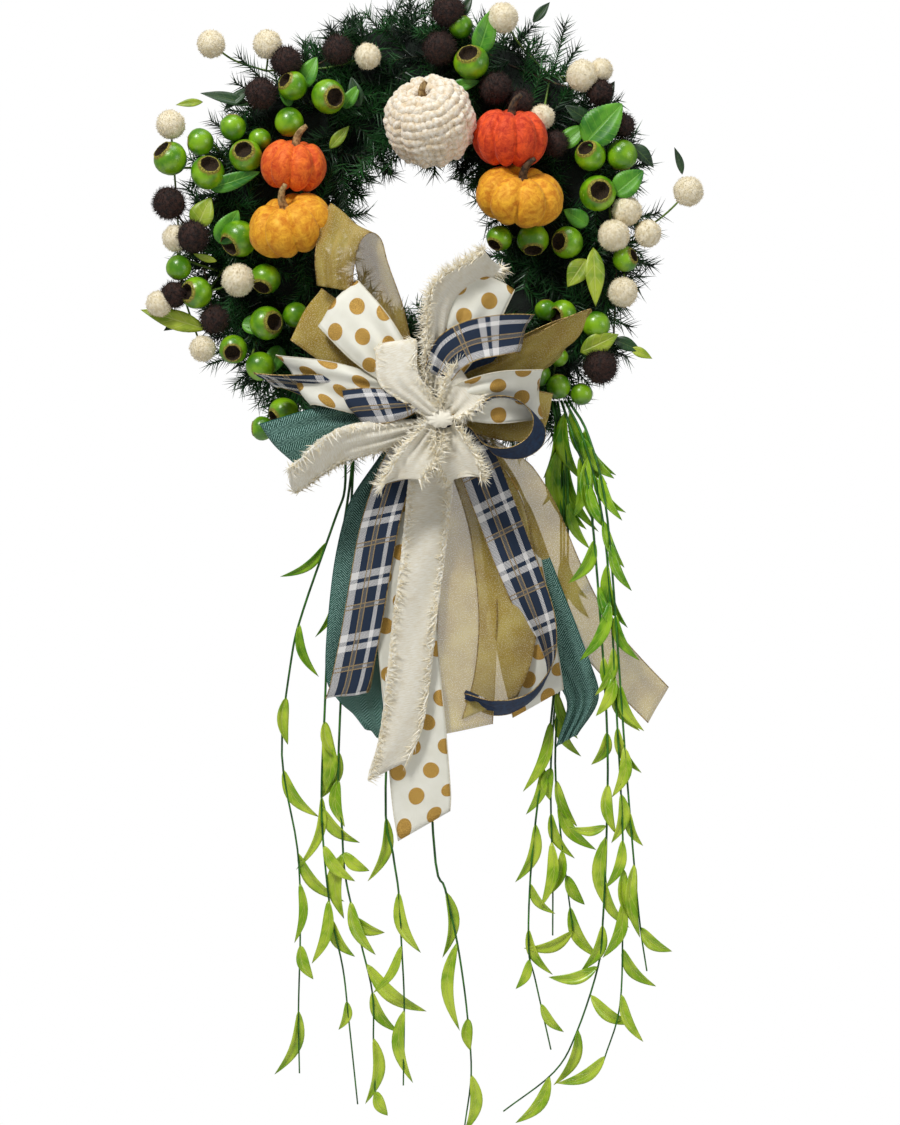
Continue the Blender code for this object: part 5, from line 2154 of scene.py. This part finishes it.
@dataclass
class Tails:
    """The ribbon tails that hang from the bow and sway together."""

    setting: Setting

    def tail(
        self,
        name: str,
        cloth: Cloth,
        layer: float,
        route: list[tuple[float, ...]],
        **extra: Any,
    ) -> Ribbon:
        """One tail.

        Args:
            name: The tail's name, as its CAD node has it.
            cloth: Its ribbon.
            layer: How far in front of the wreath's face it hangs, in millimetres from the bow's back.
            route: Stations as (across, down, forward, side, tilt, gather), the last three optional.
            **extra: The ribbon's own fields, and name_end for a second ribbon of one CAD tail.

        Returns:
            The ribbon, not yet made.
        """
        stops = []
        for across, down, forward, *more in route:
            side, tilt, gather = (*more, *(0.0, 0.0, 1.0)[len(more):])
            stops.append(Stop(across, -down, layer + forward, side, tilt, gather))
        ends = {"body": Body.TAILS, "node": f"tail_{name}", "held": "hung", "steps": 7}
        full_name = f"ribbon_tail_{name}" + extra.pop("name_end", "")
        return Ribbon(self.setting, full_name, cloth, stops, **{**ends, **extra})

    def build(self) -> None:
        """Make every tail."""
        sheer = [
            (14, 14, 5, 10, 0, 0.35), (46, 60, 1, 10, 0, 0.8), (70, 112, -1, 8), (80, 170, 1, 6),
            (84, 228, 2, 8), (78, 280, 0, 16), (64, 322, -2, 22),
        ]
        made = [
            self.tail(
                "gold_right", Cloth.SHEER, -13,
                [
                    (16, 14, 6, 30, 0, 0.3), (60, 45, 2, 40, 0, 0.6), (92, 77, -1, 36, 6),
                    (116, 116, -3, 32, 7), (137, 166, -6, 28, 6), (160, 216, -10, 28, 6),
                    (183, 252, -15, 40, 5), (213, 286, -19, 55, 3), (246, 320, -21, 60, 0),
                ],
                width=0.044, wave=1.8, phase=1.0,
            ),
            self.tail(
                "teal_left", Cloth.TEAL, -20,
                [
                    (-12, 10, 8, 0, 0, 0.3), (-34, 50, 2, 10, 0, 0.7), (-58, 100, 0, 8), (-72, 160, 1, 2),
                    (-80, 230, 2, -2), (-82, 290, 0, -4), (-72, 330, -2, -30), (-58, 352, -4, -44, 8, 0.8),
                ],
                wave=2.0, phase=0.5, width=0.058,
            ),
            self.tail(
                "teal_right", Cloth.TEAL, -23,
                [
                    (14, 12, 8, 20, 0, 0.3), (52, 58, 2, 30, 0, 0.6), (84, 118, 0, 24),
                    (104, 170, 1, 16, 2), (124, 220, 2, 8, 5), (145, 272, 1, 4, 7),
                    (164, 314, 0, 6, 6, 0.64), (146, 358, 0, 30, 8, 0.5),
                ],
                wave=2.2, phase=2.0, width=0.052,
            ),
            self.tail(
                "gold_centre", Cloth.SHEER, -14.5,
                [
                    (6, 14, 6, 0, 0, 0.35), (26, 60, 2, 0, 0, 0.8), (38, 112, 0, 0), (40, 170, 2, 2),
                    (40, 230, 4, -2), (38, 290, 0, 0), (36, 346, -2, 12),
                ],
                wave=1.8, phase=0.3,
            ),
            self.tail("gold_centre", Cloth.SHEER, -11.5, sheer, wave=1.8, phase=1.9, name_end="_side"),
            self.tail(
                "polka_centre", Cloth.POLKA, -10,
                [
                    (-10, 14, 6, 0, 0, 0.35), (-20, 70, 2, 0, 0, 0.85), (-25, 130, 0, 0), (-26, 200, 2, 0),
                    (-22, 270, 3, 2), (-15, 340, 1, 0), (-10, 404, 0, 6), (-6, 448, 2, 30),
                ],
                wave=1.6, phase=1.4,
            ),
            self.tail(
                "polka_right", Cloth.POLKA, -18.5,
                [
                    (16, 14, 6, 10, 0, 0.3), (56, 60, 2, 12, 0, 0.7), (80, 120, 0, 14, 0, 0.9),
                    (92, 190, 2, 16), (104, 258, 0, 10, 10), (116, 318, -2, 30, 10),
                ],
                wave=1.8, phase=0.9,
            ),
            self.tail(
                "plaid_left", Cloth.PLAID, -4,
                [
                    (-14, 12, 6, 10, 0, 0.5), (-34, 64, 2, 14), (-52, 122, 1, 12), (-63, 180, 2, 12),
                    (-74, 244, 2, 11), (-84, 292, 2, 10), (-89, 308, -1, 9), (-85, 302, -6, 9),
                    (-79, 270, -8, 12),
                ],
                wave=1.0, phase=0.2, width=0.044,
            ),
            self.tail(
                "plaid_right", Cloth.PLAID, -2,
                [
                    (14, 12, 6, 10, 0, 0.5), (46, 52, 2, 24), (68, 104, 2, 26), (88, 156, 2, 26, 10),
                    (108, 206, 2, 24, 25), (124, 250, 1, 30, 60), (127, 284, -2, 68, 66),
                    (106, 313, -6, 82, 66), (72, 322, -8, 90, 64), (38, 308, -8, 100, 66, 0.5),
                ],
                wave=0.8, phase=1.6, width=0.044,
            ),
            self.tail(
                "ivory", Cloth.SILK, 1,
                [
                    (-2, 14, 6, 0, 0, 0.5), (2, 62, 2, 0), (-2, 112, 0, 4), (-8, 168, 2, 8),
                    (-16, 226, 1, 8), (-22, 286, 2, 10), (-30, 344, 0, 14), (-44, 388, -1, 26),
                ],
                wave=2.4, phase=0.6, cup=2, width=0.048,
            ),
        ]
        for ribbon in made:
            ribbon.build()


# ---------------------------------------------------------------- vines


@dataclass(frozen=True)
class Strand:
    """A trailing stem and its leaves, in millimetres and degrees from where its bunch starts.

    route holds (across, down) points, and leaves hold (down, tilt from hanging straight, length, width).
    """

    route: list[tuple[float, float]]
    leaves: list[tuple[float, float, float, float]]


@dataclass
class VineBunch:
    """A bunch of trailing stems that swings as one.

    start is how far to the right of the hinge the bunch starts. layers are the depths of its pieces, and
    drifts how far they come to the front within the drop drift_run, all in metres. Short leaves keep a stem
    from being bare for longer than most_bare, which is in millimetres like the size of a short leaf.
    leaf_growth enlarges every leaf's length and width.
    """

    setting: Setting
    body: Body
    start: float
    pieces: dict[str, list[Strand]]
    layers: dict[str, float]
    drifts: dict[str, float] = field(default_factory=dict)
    most_bare: float = 1000
    drift_run: float = 0.09
    short_leaf: tuple[float, float] = (52, 12.5)
    leaf_growth: tuple[float, float] = (1.08, 0.95)

    def leaves_of(self, strand: Strand) -> list[tuple[float, float, float, float]]:
        """The leaves of a stem, with short ones added where it would stay bare for too long.

        Args:
            strand: The stem and its main leaves.

        Returns:
            Every leaf as (down, tilt, length, width).
        """
        ordered = sorted(strand.leaves)
        added = []
        for upper, lower in zip(ordered, ordered[1:]):
            for step in range(1, int((lower[0] - upper[0]) / self.most_bare) + 1):
                tilt = 26.0 if (step + len(added)) % 2 else -20.0
                added.append((upper[0] + (step - 0.35) * self.most_bare, tilt, *self.short_leaf))
        return strand.leaves + added

    def point_at(self, line: list[Vector], down: float) -> Vector:
        """The point of a stem at a height.

        Args:
            line: The stem's points.
            down: The drop below the hinge.

        Returns:
            The point.
        """
        goal = self.setting.hinges[self.body.value].z - down
        for upper, lower in zip(line, line[1:]):
            if lower.z <= goal <= upper.z:
                return upper.lerp(lower, (upper.z - goal) / max(upper.z - lower.z, 1e-6))
        return line[-1].copy()

    def build(self) -> None:
        """Make each piece of vine in place of its CAD node."""
        hinge = self.setting.hinges[self.body.value]
        for name, strands in self.pieces.items():
            maker = MeshMaker()
            depth, drift = self.layers[name], self.drifts.get(name, 0.0)
            for order, strand in enumerate(strands):
                route = []
                for across, down in ((over * MM, drop * MM) for over, drop in strand.route):
                    ahead = drift * math.sin(math.pi / 2 * min(down / self.drift_run, 1.0)) ** 2
                    y = depth - ahead + 0.0022 * math.sin(down * 9 + order * 2)
                    route.append(Vector((hinge.x + self.start + across, y, hinge.z - down)))
                line = curve_through(route, 5)
                maker.tube(line, [0.0015 - 0.0007 * index / len(line) for index in range(len(line))], 6, 2)
                for number, (drop, tilt, length, width) in enumerate(self.leaves_of(strand)):
                    down = drop * MM
                    root = self.point_at(line, down)
                    aim = math.radians(tilt)
                    lean = 0.22 * math.sin(number * 2.1 + order)
                    along = Vector((math.sin(aim), -0.03 + lean * 0.2, -math.cos(aim)))
                    hand = -1.0 if tilt < 0 else 1.0
                    face = Vector((-0.55 * hand * math.cos(number * 1.7), -1.0, 0.25 * lean))
                    size = (length * MM * self.leaf_growth[0], width * MM * self.leaf_growth[1])
                    leaf = Leaf(Blade.CRESCENT, root, along, face, *size, 0.06, 0.55, 0.13 * hand)
                    # Leaves in the top 20 to 26 cm, just under the wreath, take the darker copy as painted
                    # shade.
                    leaf.add_to(maker, 1 if down < 0.20 + 0.03 * (number % 3) else 0, 12)
            piece = maker.build(f"trailing_{name}", [VINE_LEAF, VINE_LEAF_SHADED, VINE_STEM])
            settle(piece, self.body, "vine_green", name)


# ---------------------------------------------------------------- lists of places


def pod_picks(setting: Setting) -> list[PodPick]:
    """Every pick of pods.

    Args:
        setting: The wreath's places.

    Returns:
        The picks, not yet made.
    """
    # For each pick its hub as (clock, reach), then its pods as the numbers of Pod, in millimetres.
    places = {
        "far_left": (
            (-70, 52),
            [
                (-74, 112, 18.5, -45, 60), (-75, 69, 18.5, 25, 35, 4), (-68, 88, 15, -90, 100),
                (-67, 36, 18, -20, 22, 4), (-61, 63, 14.5, 0, 110), (-60, 32, 12, 0, 120),
            ],
        ),
        "upper_left": (
            (-42, 24), [(-41, 40, 16, -60, 50, 4), (-34, 7, 18.5, 110, 35, 6), (-50, 16, 16, 180, 120)],
        ),
        "mid_left": (
            (-101, 54),
            [
                (-93, 28, 20, -130, 60), (-99, 96, 14, 180, 120), (-106, 83, 17.5, -90, 45),
                (-108, 8, 16.5, -160, 55),
            ],
        ),
        "lower_left": (
            (-122, 40),
            [
                (-122, 27, 18.5, 90, 40, 4), (-125, -4, 14, 180, 120), (-123, 72, 15.5, 180, 25),
                (-131, 60, 16, 120, 120),
            ],
        ),
        "bottom_left": ((-143, 64), [(-144, 80, 17, -120, 65), (-142, 107, 13, -90, 100)]),
        "top": ((14, 44), [(12, 60, 13.5, 0, 95), (18, 24, 19, -25, 35, 4)]),
        "upper_right": (
            (73, 50),
            [
                (67, 38, 17, -40, 40, 4), (70, 70, 17, 180, 120), (79, 33, 19.5, 60, 8, 6),
                (98, 62, 14, 70, 60),
            ],
        ),
        "inner_right": (
            (97, -32), [(96, -75, 14, -145, 60), (95, -39, 17.5, 180, 65), (95, -2, 17.5, -90, 45)],
        ),
        "lower_right": (
            (121, 28), [(122, -1, 12, 0, 110), (120, 17, 15, -110, 50), (118, 54, 15, 180, 115)],
        ),
        "bottom_right": (
            (138, 54),
            [
                (138, 63, 13.5, 0, 120), (135, 86, 12, 0, 120), (140, 40, 12.5, 0, 120),
                (132, 40, 11, 20, 100),
            ],
        ),
    }
    return [
        PodPick(setting, name, (hub[0], hub[1] * MM), [Pod.measured(*pod) for pod in pods])
        for name, (hub, pods) in places.items()
    ]


def pom_sprays(setting: Setting) -> list[PomSpray]:
    """Every spray of pom-poms.

    Args:
        setting: The wreath's places.

    Returns:
        The sprays, not yet made.
    """
    # For each spray its hub as (clock, reach), then its pom-poms as the numbers of Pom, in millimetres.
    places = {
        "cream": {
            "upper_left": ((-43, 78), [(-48, 134, 16.5), (-39, 92, 17), (-16, 30, 15.5)]),
            "far_left": (
                (-104, 100),
                [(-92, 96, 16), (-106, 125, 15.5), (-119, 100, 15.5), (-106, 36, 19, 6), (-67, 124, 17)],
            ),
            "top_right": ((40, 60), [(22, 81, 18), (47, 78, 18.5), (49, 98, 14), (48, 16, 15, 4)]),
            "far_right": (
                (92, 64),
                [(82, 130, 17.5), (92, 47, 18.5, 6), (85, 62, 17.5), (91, 84, 16), (107, 67, 17.5)],
            ),
        },
        "brown": {
            "upper_left": ((-36, 58), [(-38, 65, 17.5), (-24, 48, 16.5), (-49, 59, 18)]),
            "far_left": (
                (-90, 76), [(-84, 104, 18.5), (-92, 77, 18, 6), (-105, 107, 15.5), (-114, 75, 16)],
            ),
            "top_right": (
                (24, 44),
                [(7, 32, 18.5), (8, 73, 18.5), (29, 10, 18), (39, 12, 15), (58, 11, 15), (53, 82, 15)],
            ),
            "lower_right": ((121, 84), [(127, 82, 19, 4), (63, 84, 14)]),
        },
    }
    made = []
    for colour, sprays in places.items():
        for name, (hub, rows) in sprays.items():
            poms = [Pom(clock, *(length * MM for length in lengths)) for clock, *lengths in rows]
            made.append(PomSpray(setting, name, colour, (hub[0], hub[1] * MM), poms))
    return made


def pumpkins(setting: Setting) -> list[Pumpkin]:
    """The five pumpkins.

    Args:
        setting: The wreath's places.

    Returns:
        The pumpkins, not yet made.
    """
    return [
        Pumpkin(
            setting, "white", 7, -0.050, 0.098, 0.094, 40, -18, 10, BOUCLE, DRIED_STEM, "white_boucle",
            "dried_stem", True, 0.020,
        ),
        Pumpkin(
            setting, "orange_left", -63, -0.015, 0.072, 0.058, 14, 8, 8, ORANGE_VELVET, DRIED_STEM,
            "orange_velvet", "dried_stem",
        ),
        Pumpkin(
            setting, "orange_right", 46, -0.025, 0.081, 0.066, 14, 3, 9, RED_VELVET, DARK_STEM,
            "orange_velvet", "dark_stem",
        ),
        Pumpkin(
            setting, "mustard_left", -89, -0.028, 0.093, 0.062, 24, -18, 8, MUSTARD_VELVET, DRIED_STEM,
            "mustard_velvet", "dried_stem",
        ),
        Pumpkin(
            setting, "mustard_right", 73, -0.049, 0.096, 0.060, 26, 10, 8, MUSTARD_VELVET, DARK_STEM,
            "mustard_velvet", "dark_stem",
        ),
    ]


def vine_bunches(setting: Setting) -> list[VineBunch]:
    """The three bunches of vines.

    Args:
        setting: The wreath's places.

    Returns:
        The bunches, not yet made.
    """
    wide, slim = 14.5, 11
    left = {
        "vine_left_outer": [
            Strand(
                [
                    (-14, 0), (-14, 55), (-25, 89), (-59, 186), (-72, 240), (-82, 343), (-65, 445),
                    (-62, 528), (-64, 621), (-63, 687),
                ],
                [
                    (112, -52, 59, slim), (200, 20, 58, slim), (280, 4, 48, wide), (358, 36, 60, wide),
                    (448, 42, 68, wide), (480, -6, 61, slim), (548, 22, 37, wide), (618, -19, 70, wide),
                ],
            )
        ],
        "vine_left_inner": [
            Strand(
                [
                    (-4, 0), (-9, 55), (-30, 197), (-36, 304), (-39, 383), (-37, 438), (-29, 512),
                    (-16, 572), (-10, 624), (0, 720),
                ],
                [
                    (148, -17, 66, slim), (318, -3, 68, 17), (306, 20, 40, wide), (385, -18, 80, slim),
                    (398, 45, 53, wide), (440, 42, 48, wide), (498, -16, 67, wide), (520, 30, 44, wide),
                    (608, -15, 30, slim),
                ],
            ),
            Strand(
                [
                    (-4, 0), (-6, 55), (-14, 197), (-21, 362), (-17, 419), (-13, 476), (3, 544), (16, 601),
                    (17, 655), (19, 713),
                ],
                [
                    (338, -18, 50, slim), (368, 8, 49, wide), (448, 56, 32, wide), (448, 0, 67, 18),
                    (518, 62, 34, wide), (500, 26, 60, wide), (568, 52, 78, 17), (598, 32, 50, wide),
                    (648, -6, 67, wide), (706, 28, 28, wide),
                ],
            ),
        ],
    }
    centre = {
        "vine_centre": [
            Strand(
                [(0, 0), (-19, 55), (-34, 364), (-26, 435), (-20, 476), (-17, 531), (-14, 595), (-15, 684)],
                [(395, -14, 67, wide), (475, 20, 66, wide), (533, -32, 55, slim), (602, 6, 74, wide)],
            ),
            Strand(
                [
                    (0, 0), (3, 55), (17, 413), (30, 473), (41, 521), (48, 562), (54, 611), (58, 671),
                    (51, 728),
                ],
                [(475, -1, 67, wide), (530, 2, 89, wide), (612, 6, 32, wide), (672, -6, 60, wide)],
            ),
        ]
    }
    right = {
        "vine_right_inner": [
            Strand(
                [
                    (-30, 0), (-21, 60), (-21, 212), (-31, 346), (-43, 416), (-53, 511), (-55, 591),
                    (-48, 624), (-31, 700),
                ],
                [
                    (20, -10, 60, 18), (50, 4, 74, 18), (345, -23, 76, wide), (455, -18, 63, wide),
                    (520, 38, 40, slim), (602, -26, 33, slim), (650, 40, 37, slim),
                ],
            ),
            Strand(
                [(-27, 0), (-18, 60), (-18, 212), (-30, 370), (-31, 440), (-29, 511), (-29, 577)],
                [(40, -14, 70, 17), (395, 0, 34, wide), (475, -11, 67, wide)],
            ),
            Strand(
                [(-24, 0), (-14, 70), (-14, 212), (-26, 370), (-22, 450), (-15, 511), (-7, 572)],
                [
                    (60, 22, 82, wide), (435, 40, 60, wide), (512, 34, 35, wide), (545, 30, 63, wide),
                    (600, -70, 52, wide),
                ],
            ),
        ],
        "vine_right_middle": [
            Strand(
                [
                    (-20, 0), (-6, 45), (10, 110), (27, 336), (27, 464), (23, 557), (18, 605), (-5, 676),
                    (-29, 718), (-83, 760),
                ],
                [
                    (12, 12, 70, 18), (60, -6, 62, 18), (90, 24, 50, wide), (150, -30, 50, wide),
                    (355, -24, 36, wide), (410, 10, 50, wide), (455, -88, 37, slim), (465, 6, 86, 17),
                    (560, -24, 50, wide), (605, -78, 50, wide), (635, 56, 53, wide), (672, -22, 60, wide),
                    (722, -36, 58, wide),
                ],
            )
        ],
        "vine_right_outer": [
            Strand(
                [
                    (-16, 0), (4, 45), (23, 129), (32, 229), (37, 322), (44, 464), (44, 557), (41, 647),
                    (24, 705),
                ],
                [
                    (10, 34, 80, 17), (40, 38, 52, wide), (60, 6, 66, 18), (80, 40, 50, slim),
                    (175, 16, 67, wide), (215, -28, 67, wide), (295, -26, 44, wide), (300, 25, 56, wide),
                    (420, -10, 50, wide), (500, 12, 56, wide), (535, -20, 60, wide), (585, 40, 50, wide),
                    (700, -60, 55, wide),
                ],
            ),
            Strand(
                [(-12, 0), (9, 40), (28, 129), (46, 370), (56, 492), (63, 563), (70, 610)],
                [
                    (30, 20, 60, wide), (370, -14, 52, wide), (495, 6, 73, 16), (563, 52, 40, wide),
                    (440, 20, 36, slim),
                ],
            ),
        ],
    }
    face, step = setting.pine_front - 0.0045, 0.0029
    return [
        VineBunch(
            setting, Body.VINES_LEFT, 0.030, left,
            {"vine_left_outer": face + step, "vine_left_inner": face},
        ),
        VineBunch(setting, Body.VINES_CENTRE, -0.0055, centre, {"vine_centre": face - 5 * step}),
        VineBunch(
            setting, Body.VINES_RIGHT, -0.0027, right,
            {
                "vine_right_inner": face - step, "vine_right_middle": face - 2 * step,
                "vine_right_outer": face - 3 * step,
            },
            {"vine_right_middle": 0.031, "vine_right_outer": 0.031}, 75,
        ),
    ]


# ---------------------------------------------------------------- studio


@dataclass
class Studio:
    """The floor, the lights and the camera."""

    setting: Setting
    distance: float = 3.0
    view_height: float = 1.2375
    view_x: float = 0.035
    view_drop: float = 0.357
    floor_drop: float = 0.45

    def light(self, name: str, place: tuple[float, float, float], size: float, power: float) -> None:
        """Add a soft square light that looks at the wreath.

        Args:
            name: Its name.
            place: Where it stands, from the wreath's centre.
            size: Its side in metres.
            power: Its power in watts.
        """
        data = bpy.data.lights.new(name, "AREA")
        data.size = size
        data.energy = power
        lamp = bpy.data.objects.new(name, data)
        lamp.location = self.setting.centre + Vector(place)
        lamp.rotation_euler = (-Vector(place)).to_track_quat("-Z", "Y").to_euler()
        bpy.context.scene.collection.objects.link(lamp)

    def floor(self) -> None:
        """A wide pale floor under the wreath."""
        low = CAD_BOX[0][2] - self.floor_drop
        maker = MeshMaker()
        rows = [[Vector((x, y, low)) for x in (-1.8, 1.8)] for y in (-1.8, 1.2)]
        maker.grid(rows, [[(0, 0), (1, 0)], [(0, 1), (1, 1)]])
        maker.build("floor", [FLOOR])

    def build(self) -> None:
        """Set up the studio."""
        self.floor()
        self.light("key", (-1.3, -2.2, 2.1), 0.7, 78.0)
        self.light("fill", (2.4, -1.8, 0.2), 1.2, 14.0)
        self.light("crown", (0.3, -0.6, 2.4), 1.2, 18.0)
        world = bpy.data.worlds.new("studio")
        world.use_nodes = True
        graph = Graph(world.node_tree)
        back = world.node_tree.nodes["Background"]
        seen = graph.add("ShaderNodeLightPath").outputs["Is Camera Ray"]
        back.inputs[0].default_value = (1.0, 1.0, 1.0, 1.0)
        graph.feed(back.inputs[1], graph.math("ADD", 0.30, graph.math("MULTIPLY", seen, 0.70)))
        bpy.context.scene.world = world
        bpy.context.scene.view_settings.view_transform = "Standard"
        data = bpy.data.cameras.new("camera")
        data.sensor_width = 36.0
        data.lens = 36.0 * self.distance / self.view_height
        camera = bpy.data.objects.new("camera", data)
        camera.location = (self.view_x, -self.distance, self.setting.centre.z - self.view_drop)
        camera.rotation_euler = (math.pi / 2, 0.0, 0.0)
        bpy.context.scene.collection.objects.link(camera)
        bpy.context.scene.camera = camera


def dress_wires() -> None:
    """Give the frame's wires their painted finish."""
    for name in ("frame_ring", "hanger_loop", "bow_tie"):
        node = frame["nodes"][name]
        for index in range(len(node.data.materials)):
            node.data.materials[index] = WIRE.material()


def main() -> None:
    """Build the wreath's looks from the frame outwards."""
    logging.basicConfig(level=logging.INFO, format="%(name)s %(message)s")
    setting = Setting.measured()
    dress_wires()
    Pine(setting).build()
    for pick in pod_picks(setting):
        pick.build()
    for spray in pom_sprays(setting):
        spray.build()
    for pumpkin in pumpkins(setting):
        pumpkin.build()
    LeafSet(setting).build()
    for bunch in vine_bunches(setting):
        bunch.build()
    Tails(setting).build()
    Bow(setting).build()
    Studio(setting).build()


if __name__ == "__main__":
    main()
